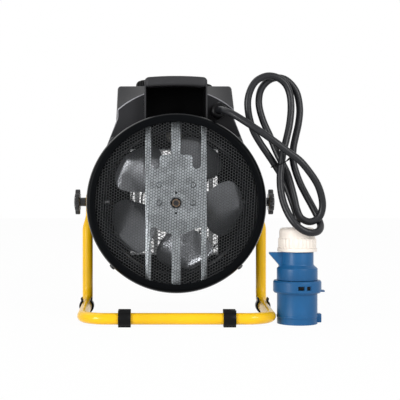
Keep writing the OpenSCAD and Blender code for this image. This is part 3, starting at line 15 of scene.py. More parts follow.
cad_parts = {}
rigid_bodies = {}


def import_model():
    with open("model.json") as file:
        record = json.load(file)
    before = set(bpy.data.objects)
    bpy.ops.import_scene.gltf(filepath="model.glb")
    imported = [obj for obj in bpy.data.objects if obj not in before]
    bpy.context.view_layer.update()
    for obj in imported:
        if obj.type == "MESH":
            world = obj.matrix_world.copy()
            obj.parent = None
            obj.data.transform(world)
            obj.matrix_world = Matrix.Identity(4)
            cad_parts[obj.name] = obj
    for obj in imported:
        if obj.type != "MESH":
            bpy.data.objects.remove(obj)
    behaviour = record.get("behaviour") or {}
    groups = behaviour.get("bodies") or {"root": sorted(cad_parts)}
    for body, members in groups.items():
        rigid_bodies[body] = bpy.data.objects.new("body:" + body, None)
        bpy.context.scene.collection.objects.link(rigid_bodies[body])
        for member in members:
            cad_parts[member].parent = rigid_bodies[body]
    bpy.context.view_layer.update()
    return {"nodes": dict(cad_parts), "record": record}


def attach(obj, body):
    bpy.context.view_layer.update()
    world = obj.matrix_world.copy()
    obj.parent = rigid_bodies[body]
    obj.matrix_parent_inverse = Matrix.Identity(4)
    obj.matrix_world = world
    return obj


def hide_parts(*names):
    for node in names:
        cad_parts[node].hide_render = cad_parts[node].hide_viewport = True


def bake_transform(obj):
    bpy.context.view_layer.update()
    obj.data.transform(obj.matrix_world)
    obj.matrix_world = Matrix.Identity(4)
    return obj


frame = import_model()

AXIS_Y, AXIS_H = 29.85, 131.5
DRUM_R, RING_R = 98.0, 99.5
REAR, FRONT, HOOD_REAR = -119.0, 101.0, -84.0


# Shapes


def quads(*corners):
    """Four-sided faces from four arrays of point numbers."""
    return np.stack(corners, -1).reshape(-1, 4)


def grid_faces(rows, columns, wrap_rows=False):
    """Faces between neighbours of a grid whose every row closes on itself."""
    i = np.arange(rows if wrap_rows else rows - 1)[:, None]
    j = np.arange(columns)[None, :]
    i2, j2 = (i + 1) % rows, (j + 1) % columns
    return quads(i * columns + j, i * columns + j2, i2 * columns + j2, i2 * columns + j).tolist()


def facing_out(points, faces):
    """The faces of a closed shell, turned round where its volume, the sum of a.(b x c)/6, is negative."""
    volume, by_size = 0.0, {}
    for face in faces:
        by_size.setdefault(len(face), []).append(face)
    for size, rows in by_size.items():
        corners = points[np.array(rows)]
        for k in range(1, size - 1):
            volume += np.einsum("ij,ij->", corners[:, 0], np.cross(corners[:, k], corners[:, k + 1]))
    return faces if volume >= 0 else [face[::-1] for face in faces]


def shell(grid, wrap_rows=False):
    """A closed shell from a grid (rows, columns, 3): rows close on themselves, and flat ends close it."""
    rows, columns = grid.shape[:2]
    points = grid.reshape(-1, 3)
    faces = grid_faces(rows, columns, wrap_rows)
    if not wrap_rows:
        faces.append(list(range(columns))[::-1])
        faces.append(list(range((rows - 1) * columns, rows * columns)))
    return points, facing_out(points, faces)


def full_turn(steps):
    """Even angles once round."""
    return np.arange(steps) / steps * 2 * pi


def on_circle(radius, angle):
    """Places (x, y) at a radius from the middle and at each angle from X."""
    return np.stack([radius * np.cos(angle), radius * np.sin(angle)], -1)


def turned(radii, heights, steps=96, wrap=False):
    """A turned form: each row has a radius, one number or one for each angle, and a height along Z."""
    angle = full_turn(steps)
    r = np.stack([np.broadcast_to(np.asarray(v, float), (steps,)) for v in radii])
    h = np.stack([np.broadcast_to(np.asarray(v, float), (steps,)) for v in heights])
    return shell(np.stack([r * np.cos(angle), r * np.sin(angle), h], -1), wrap)


def lathe(profile, steps=96, wrap=False):
    """A profile of (radius, height) pairs turned round Z; a wrapped profile closes on itself."""
    profile = np.asarray(profile, float)
    return turned(profile[:, 0], profile[:, 1], steps, wrap)


def rounded(corners, radii, steps=5, closed=False):
    """A line through corners, each turned into a circular arc of its radius, or kept sharp where it is 0.

    An arc is the rational curve (a(1-t)^2 + 2wct(1-t) + bt^2) / ((1-t)^2 + 2wt(1-t) + t^2), with w the
    cosine of half the turn, c the corner, and a and b the points a radius times tan(turn/2) from it.
    """
    corners = [np.asarray(c, float) for c in corners]
    radii = np.broadcast_to(np.asarray(radii, float), (len(corners),))
    t = np.linspace(0, 1, steps + 1)[:, None]
    line = []
    for k, (corner, radius) in enumerate(zip(corners, radii)):
        end = not closed and k in (0, len(corners) - 1)
        if radius <= 0 or end:
            line.append(corner[None])
            continue
        before, after = corners[k - 1] - corner, corners[(k + 1) % len(corners)] - corner
        u, v = before / np.linalg.norm(before), after / np.linalg.norm(after)
        turn = pi - acos(np.clip(u @ v, -1, 1))
        trim, w = radius * tan(turn / 2), cos(turn / 2)
        a, b = corner + u * trim, corner + v * trim
        top = a * (1 - t) ** 2 + 2 * w * corner * t * (1 - t) + b * t**2
        line.append(top / ((1 - t) ** 2 + 2 * w * t * (1 - t) + t**2))
    return np.concatenate(line)


def spline(places, per=6):
    """A smooth line through places: a cubic, whose slope is half the step between a place's neighbours."""
    p = np.asarray(places, float)
    p = np.concatenate([[2 * p[0] - p[1]], p, [2 * p[-1] - p[-2]]])
    t = (np.arange(per) / per)[None, :, None]
    a, b, c, d = (p[k : len(p) - 3 + k, None, :] for k in range(4))
    line = (2 * b + (c - a) * t + (2 * a - 5 * b + 4 * c - d) * t**2 + (3 * b - a - 3 * c + d) * t**3) / 2
    return np.concatenate([line.reshape(-1, p.shape[1]), p[-2][None]])


def frames(path, across=(0, 1, 0.3), closed=False):
    """Heading and two square directions at each point of a line, which turn no more than they must."""
    if closed:
        heading = np.roll(path, -1, 0) - np.roll(path, 1, 0)
    else:
        heading = np.gradient(path, axis=0)
    heading /= np.linalg.norm(heading, axis=1)[:, None]
    first, side = np.asarray(across, float), []
    for h in heading:
        first = first - (first @ h) * h
        first = first / np.linalg.norm(first)
        side.append(first)
    side = np.array(side)
    return heading, side, np.cross(heading, side)


def tube(path, radius, sides=16, across=(0, 1, 0.3), closed=False):
    """A round tube along a line: every ring lies square to the line, a radius away from it."""
    _, side, up = frames(path, across, closed)
    angle = full_turn(sides)[None, :, None]
    r = np.broadcast_to(np.asarray(radius, float), (len(path),))[:, None, None]
    grid = path[:, None] + r * (np.cos(angle) * side[:, None] + np.sin(angle) * up[:, None])
    return shell(grid, closed)


def ring_wire(radius, wire_r, steps=96, sides=10):
    """A wire bent into a circle round Z."""
    path = np.c_[on_circle(radius, full_turn(steps)), np.zeros(steps)]
    return tube(path, wire_r, sides, (0, 0, 1), True)


def stamped(outline, thickness, edge, holes=()):
    """A plate of a drawn outline with holes: it fills Z from 0 to its thickness, with rounded edges."""
    curve = bpy.data.curves.new("drawing", "CURVE")
    curve.dimensions, curve.fill_mode = "2D", "BOTH"
    curve.extrude, curve.bevel_depth, curve.bevel_resolution = thickness / 2 - edge, edge, 1
    curve.offset = -edge
    for line in (outline, *holes):
        line = np.asarray(line, float)
        drawn = curve.splines.new("POLY")
        drawn.points.add(len(line) - 1)
        drawn.points.foreach_set("co", np.c_[line, np.zeros(len(line)), np.ones(len(line))].ravel())
        drawn.use_cyclic_u = True
    thing = bpy.data.objects.new("drawing", curve)
    mesh = bpy.data.meshes.new_from_object(thing)
    points = np.zeros(len(mesh.vertices) * 3, np.float32)
    mesh.vertices.foreach_get("co", points)
    faces = [tuple(polygon.vertices) for polygon in mesh.polygons]
    for store, used in ((bpy.data.objects, thing), (bpy.data.curves, curve), (bpy.data.meshes, mesh)):
        store.remove(used)
    points = points.reshape(-1, 3).astype(float)
    _, first, same = np.unique(np.round(points, 3), axis=0, return_index=True, return_inverse=True)
    same = same.ravel()
    faces = [[int(same[v]) for v in face] for face in faces]
    faces = [face for face in faces if len(set(face)) == len(face)]
    points = points[first] + [0, 0, thickness / 2]
    return points, facing_out(points, faces)


def circle(radius, centre=(0, 0), steps=32):
    """Even places on a circle."""
    return on_circle(radius, full_turn(steps)) + centre


def block(low, high, edge):
    """A box with rounded edges between two corners."""
    low, high = np.asarray(low, float), np.asarray(high, float)
    x, y, z = high - low
    outline = rounded([(0, 0), (x, 0), (x, y), (0, y)], edge * 1.2, 3, True)
    points, faces = stamped(outline, z, edge)
    return points + low, faces


def placed(made, *moves):
    """A shell whose points go through one move after another."""
    points, faces = made
    for move in moves:
        points = move(points)
    return points, faces


def shift(x=0.0, y=0.0, z=0.0):
    """A move of points by three lengths."""
    return lambda p: p + [x, y, z]


def turn(angle, axis):
    """A turn of points by an angle in degrees about an axis."""
    matrix = np.array(Matrix.Rotation(radians(angle), 3, axis))
    return lambda p: p @ matrix.T


def forward(p):
    """Drawn along +Z, now along +Y."""
    return np.stack([p[:, 0], p[:, 2], -p[:, 1]], -1)


def backward(p):
    """Drawn along +Z, now along -Y, with the drawing's Y up."""
    return np.stack([p[:, 0], -p[:, 2], p[:, 1]], -1)


def outward(p):
    """Drawn along +Z, now along +X."""
    return np.stack([p[:, 2], p[:, 1], -p[:, 0]], -1)


def at_axis(p):
    """Drawn round the drum's axis, now at its place over the floor."""
    return p + [0, AXIS_Y, AXIS_H]


def mirrored(made):
    """The same shell on the other side of the middle."""
    points, faces = made
    return points * [-1, 1, 1], [face[::-1] for face in faces]


def both(made):
    """A shell and its mirror image."""
    return [made, mirrored(made)]


def as_mesh(name, points, faces):
    """A mesh in metres from a shell in millimetres."""
    mesh = bpy.data.meshes.new(name)
    mesh.from_pydata((np.asarray(points) * 0.001).tolist(), [], faces)
    return mesh


def in_scene(name, data):
    """A new object in the scene."""
    made = bpy.data.objects.new(name, data)
    bpy.context.scene.collection.objects.link(made)
    return made


def piece(name, shells, body, slot, moves=(), replaces=None, smooth=35, finish=None):
    """One object from one or several shells, with its body and its place in the record.

    It takes the place of the node with its own name, unless replaces lists other nodes or none, and
    has its slot's finish, unless another is given.
    """
    points, faces, count = [], [], 0
    for part in shells if isinstance(shells, list) else [shells]:
        p, f = placed(part, *moves)
        points.append(p)
        faces += [[v + count for v in face] for face in f]
        count += len(p)
    mesh = as_mesh(name, np.concatenate(points), faces)
    mesh.shade_smooth()
    mesh.set_sharp_from_angle(angle=radians(smooth))
    mesh.materials.append((finish or FINISHES[slot]).material)
    made = in_scene(name, mesh)
    replaced = [name] if replaces is None else replaces
    if replaced:
        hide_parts(*replaced)
    if body:
        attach(made, body)
    return made


def on_drum(name, shells, slot, moves=(), **more):
    """A piece drawn round the drum's axis, which rides with the drum."""
    return piece(name, shells, "housing", slot, [*moves, at_axis], **more)


def cut(made, cutters):
    """Takes the cutters' shells away from a piece."""
    for number, tool in enumerate(cutters):
        mesh = as_mesh("cutter", *tool)
        knife = in_scene("cutter", mesh)
        work = made.modifiers.new(f"cut {number}", "BOOLEAN")
        work.operation, work.object, work.solver = "DIFFERENCE", knife, "EXACT"
        bpy.context.view_layer.update()
        result = bpy.data.meshes.new_from_object(made.evaluated_get(bpy.context.evaluated_depsgraph_get()))
        made.modifiers.remove(work)
        old, made.data = made.data, result
        bpy.data.meshes.remove(old)
        bpy.data.objects.remove(knife)
        bpy.data.meshes.remove(mesh)


# Finishes


class Value:
    """A value that varies over a surface. Arithmetic on it adds Math nodes to its tree."""

    def __init__(self, nodes, socket):
        self.nodes, self.socket = nodes, socket

    def _math(self, operation, a, b):
        return self.nodes.node("ShaderNodeMath", {"operation": operation}, {0: a, 1: b})

    def __add__(self, other):
        return self._math("ADD", self, other)

    def __sub__(self, other):
        return self._math("SUBTRACT", self, other)

    def __rsub__(self, other):
        return self._math("SUBTRACT", other, self)

    def __mul__(self, other):
        return self._math("MULTIPLY", self, other)

    __radd__, __rmul__ = __add__, __mul__


class Nodes:
    """A node tree. node() adds any node: first its settings, then the values or links of its sockets."""

    def __init__(self, owner):
        owner.use_nodes = True
        self.tree = owner.node_tree

    def node(self, kind, settings=None, values=None, output=0):
        made = self.tree.nodes.new(kind)
        for name, setting in (settings or {}).items():
            setattr(made, name, setting)
        for socket, value in (values or {}).items():
            if isinstance(value, Value):
                self.tree.links.new(value.socket, made.inputs[socket])
            else:
                made.inputs[socket].default_value = value
        return Value(self, made.outputs[output])

    def white_where_seen(self, lit, white, share, end):
        """Shows a share of plain white to the camera, a gloss or a clear piece, and lights as lit does."""
        seen = 0.0
        for ray in ("Camera", "Glossy", "Transmission"):
            path = self.node("ShaderNodeLightPath", output=f"Is {ray} Ray")
            seen = self.node("ShaderNodeMath", {"operation": "MAXIMUM"}, {0: seen, 1: path})
        plain_white = self.node(white, None, {"Color": (1, 1, 1, 1), "Strength": 1.0})
        look = self.node("ShaderNodeMixShader", None, {0: seen * share, 1: lit, 2: plain_white})
        self.tree.links.new(look.socket, self.tree.nodes[end].inputs["Surface"])


class Finish(Nodes):
    """A material whose values are laid out in object coordinates, and fed to its shader."""

    def __init__(self, name, **sockets):
        self.material = bpy.data.materials.new(name)
        super().__init__(self.material)
        self.shader, self.fed = self.tree.nodes["Principled BSDF"], {}
        for socket, value in sockets.items():
            self.shader.inputs[socket.replace("_", " ")].default_value = value
        self.coords = self.node("ShaderNodeTexCoord", output="Object")

    def feed(self, socket, value):
        self.tree.links.new(value.socket, self.shader.inputs[socket])
        self.fed[socket] = value

    def along_y(self):
        return self.node("ShaderNodeSeparateXYZ", None, {"Vector": self.coords}, "Y")

    def noise(self, scale, detail=2.0, rough=0.5, stretch=None):
        place = self.coords
        if stretch:
            place = self.node("ShaderNodeMapping", None, {"Vector": self.coords, "Scale": stretch})
        values = {"Vector": place, "Scale": scale, "Detail": detail, "Roughness": rough}
        return self.node("ShaderNodeTexNoise", None, values, "Fac")

    def tones(self, value, colour, darker, lighter, low=0.3, high=0.7):
        """The colour made darker up to the low value and lighter from the high one, and blended between."""
        tone = self.node("ShaderNodeValToRGB", None, {"Fac": value}, "Color")
        ramp = tone.socket.node.color_ramp.elements
        for stop, place, factor in ((ramp[0], low, darker), (ramp[1], high, lighter)):
            stop.position = place
            stop.color = (*(min(1.0, part * factor) for part in colour), 1.0)
        return tone

    def mix(self, share, low, high):
        return self.node("ShaderNodeMix", {"data_type": "RGBA"}, {0: share, 6: low, 7: high}, 2)

    def spread(self, value, low, high):
        """The value carried from low..high to 0..1."""
        values = {"Value": value, "From Min": low, "From Max": high}
        return self.node("ShaderNodeMapRange", None, values, "Result")

    def bump(self, height, strength, depth):
        values = {"Height": height, "Strength": strength, "Distance": depth * 0.001}
        self.feed("Normal", self.node("ShaderNodeBump", None, values, "Normal"))


def powder_coat(name, colour, rough, peel, specular, **sockets):
    """Powder coat: a faint orange peel, and a colour that drifts a little over the piece."""
    finish = Finish(name, Specular_IOR_Level=specular, **sockets)
    grain, drift = finish.noise(1100, 2), finish.noise(16, 3)
    finish.feed("Base Color", finish.tones(drift, colour, 0.88, 1.08))
    finish.feed("Roughness", rough + (grain - 0.5) * 0.16 + (drift - 0.5) * 0.1)
    finish.bump(grain, peel, 0.05)
    return finish


def moulded(name, colour, rough, grain_size, depth, specular=0.5, **sockets):
    """Moulded plastic: a fine spark-eroded grain, and a slow change of sheen from handling."""
    finish = Finish(name, Specular_IOR_Level=specular, **sockets)
    grain, cloud = finish.noise(grain_size, 3, 0.6), finish.noise(24, 3)
    finish.feed("Base Color", finish.tones(cloud, colour, 0.9, 1.1))
    finish.feed("Roughness", rough + (grain - 0.5) * 0.2 + (cloud - 0.5) * 0.12)
    finish.bump(grain, depth, 0.06)
    return finish


def painted_highlight_edge(name, colour, highlight_colour, rough, reach, specular):
    """Moulded plastic with a painted highlight: its rear edge, between two distances from the hood's rear, is
    a lighter colour that stands for light caught on the rounded edge.
    """
    finish = moulded(name, colour, rough, 1400, 0.3, specular)
    y, (rear, front) = finish.along_y(), [(AXIS_Y + HOOD_REAR + in_from) * 0.001 for in_from in reach]
    share = finish.spread(y, rear - 0.0001, rear) * (1 - finish.spread(y, front - 0.0006, front))
    # Painted highlight: the base colour blends to the lighter highlight colour in the thin band along the
    # rear edge.
    finish.feed("Base Color", finish.mix(share, finish.fed["Base Color"], (*highlight_colour, 1.0)))
    return finish


def edge_worn_coat(name, colour, rough, peel, specular):
    """Powder coat that is glossier on a ring's rounded edge: far out from the axis, and near its face."""
    finish = powder_coat(name, colour, rough, peel, specular, Coat_Roughness=0.2)
    middle, half_length = (AXIS_Y + (REAR + FRONT) / 2) * 0.001, (FRONT - REAR) / 2 * 0.001
    flat = {"Vector": finish.coords, "Scale": (1, 0, 1), "Location": (0, 0, -AXIS_H * 0.001)}
    from_axis = finish.node("ShaderNodeMapping", None, flat)
    radius = finish.node("ShaderNodeVectorMath", {"operation": "LENGTH"}, {0: from_axis}, "Value")
    along = finish.node("ShaderNodeMath", {"operation": "ABSOLUTE"}, {0: finish.along_y() - middle})
    far_out = finish.spread(radius, (RING_R - 2.3) * 0.001, (RING_R - 0.3) * 0.001)
    finish.feed("Coat Weight", far_out * finish.spread(along, half_length - 0.0048, half_length - 0.0034))
    return finish


def galvanised(name, colour, rough):
    """Zinc coat: crystals that differ in tone and sheen, with a faint rolling grain over them."""
    finish = Finish(name, Metallic=0.85)
    values = {"Vector": finish.coords, "Scale": 150.0, "Randomness": 1.0}
    crystals = finish.node("ShaderNodeTexVoronoi", {"feature": "F1"}, values, "Color")
    tone = finish.node("ShaderNodeSeparateColor", None, {"Color": crystals}, "Red")
    rolled = finish.noise(60, 3, 0.6, (1.0, 1.0, 0.06))
    finish.feed("Base Color", finish.tones(tone * 0.6 + rolled * 0.4, colour, 0.78, 1.15, 0.2, 0.8))
    finish.feed("Roughness", rough + (tone - 0.5) * 0.16)
    finish.bump(rolled, 0.1, 0.04)
    return finish


def bare_metal(name, colour, rough, stretch=(1.0, 1.0, 0.08), scale=500.0, metallic=1.0):
    """Bare metal: fine lines left by drawing or turning, and a slight stain."""
    finish = Finish(name, Metallic=metallic)
    lines, stain = finish.noise(scale, 3, 0.6, stretch), finish.noise(45, 2)
    finish.feed("Base Color", finish.tones(stain, colour, 0.85, 1.06))
    finish.feed("Roughness", rough + (lines - 0.5) * 0.2 + (stain - 0.5) * 0.1)
    finish.bump(lines, 0.12, 0.03)
    return finish


DEEP_BLACK = (0.0012, 0.0016, 0.0022)
FINISHES = {
    "yellow_tube": powder_coat("yellow powder coat", (0.90, 0.52, 0.003), 0.3, 0.1, 0.2,
                               Coat_Weight=0.3, Coat_Roughness=0.1),
    "black_sheet": powder_coat("black powder coat", DEEP_BLACK, 0.36, 0.2, 0.045),
    "black_plastic": moulded("black moulding", (0.004, 0.004, 0.0045), 0.3, 1200, 0.08, 0.11),
    "hood_plastic": moulded("dark grey moulding", (0.030, 0.030, 0.032), 0.44, 1400, 0.3, 0.14),
    "cord_rubber": moulded("cord rubber", (0.008, 0.0085, 0.0105), 0.36, 900, 0.12, 0.3),
    "blue_plastic": moulded("blue moulding", (0.011, 0.092, 0.235), 0.34, 700, 0.1, 0.25),
    "cream_plastic": moulded("cream moulding", (0.78, 0.71, 0.64), 0.4, 600, 0.1),
    "heat_resin": moulded("heat resistant resin", (0.55, 0.52, 0.45), 0.5, 500, 0.2),
    "lamp_orange": moulded("lamp lens", (0.75, 0.16, 0.02), 0.22, 200, 0.05, Transmission_Weight=0.3),
    "galvanised_sheet": galvanised("galvanised sheet", (0.42, 0.45, 0.47), 0.36),
    "steel": bare_metal("bright zinc steel", (0.62, 0.62, 0.63), 0.3),
    "black_screws": bare_metal("blackened steel", (0.05, 0.05, 0.052), 0.42, (1, 1, 1), 300),
    "core_steel": bare_metal("laminated steel", (0.22, 0.23, 0.25), 0.5, (1, 14, 1), 250),
    "fan_aluminium": bare_metal("pressed aluminium", (0.30, 0.31, 0.33), 0.22, (1, 1, 1), 120, 0.6),
    "heater_aluminium": bare_metal("fin strip", (0.66, 0.67, 0.68), 0.36),
    "copper": bare_metal("varnished copper", (0.55, 0.24, 0.10), 0.35, (1, 1, 1), 900),
    "bronze": bare_metal("bronze", (0.30, 0.20, 0.13), 0.42),
    "plated_brass": bare_metal("plated pins", (0.70, 0.66, 0.52), 0.25),
}
rolled_edge = edge_worn_coat("black powder coat, rolled edge", DEEP_BLACK, 0.36, 0.2, 0.045)
mesh_black = powder_coat("black mesh coat", (0.034, 0.036, 0.038), 0.45, 0.2, 0.25)
inner_black = powder_coat("black coat inside", (0.0022, 0.0025, 0.0028), 0.6, 0.2, 0.05)
# The hood's finish has a painted highlight, a lighter band of colour along its rear edge.
hood_painted_highlight = painted_highlight_edge("dark grey moulding, painted highlight on rear edge", (0.023, 0.023, 0.025), (0.30, 0.30, 0.32), 0.48,
                          (0.1, 1.35), 0.07)
# Painted shade: a near-black moulding for the liner that darkens the recess under the handle.
painted_shade_black = moulded("black moulding, painted shade in recess", (0.0035, 0.0035, 0.004), 0.55, 1400, 0.3, 0.06)
knob_black = moulded("black moulding, glossy", (0.014, 0.014, 0.015), 0.24, 900, 0.05)
NODE_FINISHES = {
    "motor_rear_cover": inner_black,
    "motor_front_cover": inner_black,
    "motor_shaft": FINISHES["black_screws"],
    "heater_plate": inner_black,
    "heater_ends": FINISHES["heater_aluminium"],
}
for row in frame["record"]["subparts"]:
    node = frame["nodes"][row["node"]]
    node.data.materials.clear()
    node.data.materials.append(NODE_FINISHES.get(row["node"], FINISHES[row["material_slot"]]).material)


# Camera

lens = bpy.data.cameras.new("camera")
lens.lens, lens.sensor_width = 90.0, 36.0
lens.shift_x, lens.shift_y = 0.1125, -0.025
camera = in_scene("camera", lens)
camera.location = (-0.0235, -1.18815, 0.146)
camera.rotation_euler = (pi / 2, 0, 0)
bpy.context.scene.camera = camera


# Cord and plug

CORD_R = 3.9
CORD_PLACES = [
    (48, -68, 235), (48, -76, 235), (49, -85, 234.5), (53, -95, 232.5), (61, -102, 228.5),
    (71, -106, 222), (82, -109, 214.5), (94.5, -111, 206), (107.5, -112, 196.5), (120, -112, 187),
    (132.5, -112, 177.5), (143, -110, 165.5), (151.5, -108, 153), (156.5, -106, 140),
    (158, -104.5, 127.5), (154.5, -103.5, 116.5), (145, -102, 111.5), (135.5, -100, 115.5), (131, -98, 125.5),
    (128.5, -95, 138), (125.5, -92, 151), (122, -90, 163.5), (117, -88, 174.5), (111, -85, 187),
    (104, -81, 205), (96.5, -79, 222.5), (92, -79, 239), (92.5, -79, 252.5), (96.5, -79, 261.5),
    (103.5, -79, 268), (112, -79, 270.5), (121, -79, 268.5), (129, -79, 261.5), (134.5, -79, 251.5),
    (137, -79, 235.5), (135.5, -80, 220), (132, -81, 204.5), (129.5, -82, 192.5), (129, -83, 179),
    (132, -84, 166), (137, -85, 152.5), (143.5, -86, 139.5), (150, -88, 127), (155, -91.5, 116),
    (157, -98, 107), (153, -107, 101.5), (145, -113, 100), (136, -115.5, 102.5), (128, -115, 108.5),
    (121.5, -112, 117.5), (116, -108, 130.5), (113, -104, 145), (112.5, -101, 160), (114, -99, 173),
    (116.5, -97, 187.5), (120, -94, 200.5), (124, -91, 217.5), (126, -89, 235), (125, -88, 250.5),
    (120.5, -88, 262), (112.5, -88, 269), (104, -88, 271.5), (96, -88, 270.5), (87.5, -88, 265.5),
    (81.5, -88, 256), (78.5, -88, 243), (80, -87, 227.5), (85, -85, 211.5), (92.5, -83, 198.5),
    (100, -82, 187.5), (107.5, -81, 176.5), (115, -81, 164.5), (122, -83, 149.5), (127, -86, 135),
    (131, -89.5, 122), (132.5, -91, 114), (132.5, -91, 109), (132.5, -91, 104),
]
cord_line = spline(CORD_PLACES, 6)
cord = piece("cord", tube(cord_line, CORD_R, 20), None, "cord_rubber",
             replaces=["cord_lead", "cord_hank"], smooth=60)
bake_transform(cord)

PLUG = shift(132.5, -91, 0)
COLLAR_R, SHROUD_R, WINDOWS = 26.3, 22.0, ((-96, -80), (-74, -62))


def in_window(value, low, high, soft):
    """1 between low and high and 0 outside, with a soft step at each edge."""
    value = np.asarray(value, float)
    return np.clip((value - low) / soft, 0, 1) * np.clip((high - value) / soft, 0, 1)


def plug_shroud():
    """Shroud and collar in one wall, whose outside sinks in by 2.6 where the two latch windows are."""
    steps = 240
    angle = (np.arange(steps) / steps * 360 + 180) % 360 - 180
    skirt = rounded(
        [(SHROUD_R, 0), (SHROUD_R, 6.9), (22.55, 7.3), (22.55, 9.2), (SHROUD_R, 9.6), (SHROUD_R, 33.6),
         (25.1, 33.8), (COLLAR_R, 35.6), (COLLAR_R, 36.6)],
        [0, 0.2, 0.2, 0.2, 0.2, 0.6, 0.5, 0.8, 0], 4)
    band = np.stack([np.full(20, COLLAR_R), np.linspace(37, 44.4, 20)], -1)
    top = rounded([(COLLAR_R, 44.8), (COLLAR_R, 45.6), (25.2, 47.3), (19.7, 47.3), (19.7, 1.0), (20.4, 0)],
                  [0, 0.8, 0.5, 0.3, 0, 0], 4)
    outside = np.concatenate([skirt, band, top])
    sink = sum(in_window(angle, low, high, 1.4) for low, high in WINDOWS)
    height = in_window(outside[:, 1], 37.8, 42.2, 0.4) * (outside[:, 0] > 24)
    radii = outside[:, :1] - 2.6 * height[:, None] * sink[None]
    return turned(radii, outside[:, 1], steps, True)


def plug_nut():
    """Cream gland nut: a flange, a band of thirty ribs and a dome that turns in to the cord."""
    steps = 300
    wave = 0.5 + 0.5 * np.cos(30 * full_turn(steps))
    rib = np.clip(wave * 1.6 - 0.3, 0, 1) * 0.6
    flange = rounded([(16.2, 78.7), (21.6, 78.7), (21.6, 82.6), (20.6, 82.9)], [0, 0.7, 0.9, 0], 4)
    band = [(20.2, 83.1, 0), (20.2, 83.8, 1), (20.2, 88, 1), (20.2, 91.6, 1), (20.1, 92.9, 0.8),
            (19.9, 93.4, 0)]
    dome = rounded([(19.9, 93.5), (19.5, 93.7), (19.4, 104.6), (4.7, 105.0), (4.1, 104.6), (4.1, 82),
                    (16.2, 81)], [0, 0.3, 4.2, 0.5, 0, 0, 0], 9)
    radii = [*flange[:, 0], *(r + rib * share for r, _, share in band), *dome[:, 0]]
    heights = [*flange[:, 1], *(h for _, h, _ in band), *dome[:, 1]]
    return turned(radii, heights, steps, True)


def plug_body():
    """Body that steps in over a rounded shoulder to the neck, hollow for its insert."""
    profile = rounded([(19.9, 47.6), (22.2, 47.6), (22.2, 60.3), (17.8, 64.2), (17.8, 78.4), (16.2, 78.4),
                       (16.2, 66), (19.9, 62)], [0, 0.5, 1.6, 2.2, 0.6, 0, 0, 0], 5)
    return lathe(profile, 96, True)


def lid_hook():
    """Hook for a socket's lid: drawn from the side, it slopes out to a flat catch."""
    width = 9.6
    side = rounded([(-14, 77.8), (-30.6, 77.8), (-30.6, 75.8), (-20.4, 64.2), (-19.6, 60.4), (-14, 60.4)],
                   [0, 0.6, 0.6, 1.5, 0.8, 0], 3, True)
    return placed(stamped(side, width, 0.6), backward, shift(0, width / 2, 0))


def latch_plates():
    """Dark latch plates at the bottom of the collar's two windows."""
    plates = []
    for low, high in WINDOWS:
        half = COLLAR_R * sin(radians(high - low) / 2) * 0.84
        plate = block((-half, 0, 38.2), (half, 1.6, 41.8), 0.2)
        plates.append(placed(plate, shift(0, -24.6, 0), turn((low + high) / 2 + 90, "Z")))
    return plates


key = block((19.9, -4.8, 1.2), (26.0, 4.8, 10.8), 0.8)
lid_catch = block((24.0, -4.8, 34.6), (29.6, 4.8, 36.4), 0.4)
plug_parts = [
    piece("plug_shroud", [plug_shroud(), key, lid_catch], "stand", "blue_plastic", [PLUG]),
    piece("plug_body", [plug_body(), lid_hook()], "stand", "blue_plastic", [PLUG]),
    piece("plug_nut", plug_nut(), "stand", "cream_plastic", [PLUG], smooth=40),
    piece("latch_plates", latch_plates(), "stand", "black_plastic", [PLUG], ()),
]


def wire_tie():
    """A covered wire wound tight round three strands, whose two ends are twisted together.

    Each point lies a radius from the strand that reaches furthest in that point's own direction.
    """
    wound_r, wire_r, end_r = 4.75, 0.68, 0.6
    a = (np.arange(96) + 0.5) / 96 * 2 * pi
    out = on_circle(1.0, a)
    strands = np.array([(-2.5, 9.0), (4.7, 2.3), (2.5, -8.8)])
    around = strands[np.argmax(out @ strands.T, 1)] + wound_r * out
    loop = placed((np.c_[around, 0 * a], None), turn(-22, "Y"), shift(112, -90, 174))[0]
    t = np.linspace(0, 1, 25)
    lead = np.outer(t, [3.6, -2.0, 3.2])
    _, side, up = frames(lead, (0, 0, 1))
    ends = []
    for start in (0, pi):
        turns = (t * 2.5 * 2 * pi + start)[:, None]
        twist = 0.7 * (np.cos(turns) * side + np.sin(turns) * up) * (t[:, None] + 0.1)
        ends.append(tube(loop[0] + lead + twist, end_r, 8))
    return [tube(loop, wire_r, 8, (0, 0, 1), True), *ends]


tie = piece("wire_tie", wire_tie(), None, "black_plastic", replaces=["hank_tie"], smooth=60)
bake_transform(tie)


# Stand

LEG_X, BAR_X, BAR_REACH = 105.2, 101.7, 152.0
TUBE_R, TUBE_H, EAR_HALF_W, EAR_HALF_T = 6.2, 8.7, 8.75, 2.0


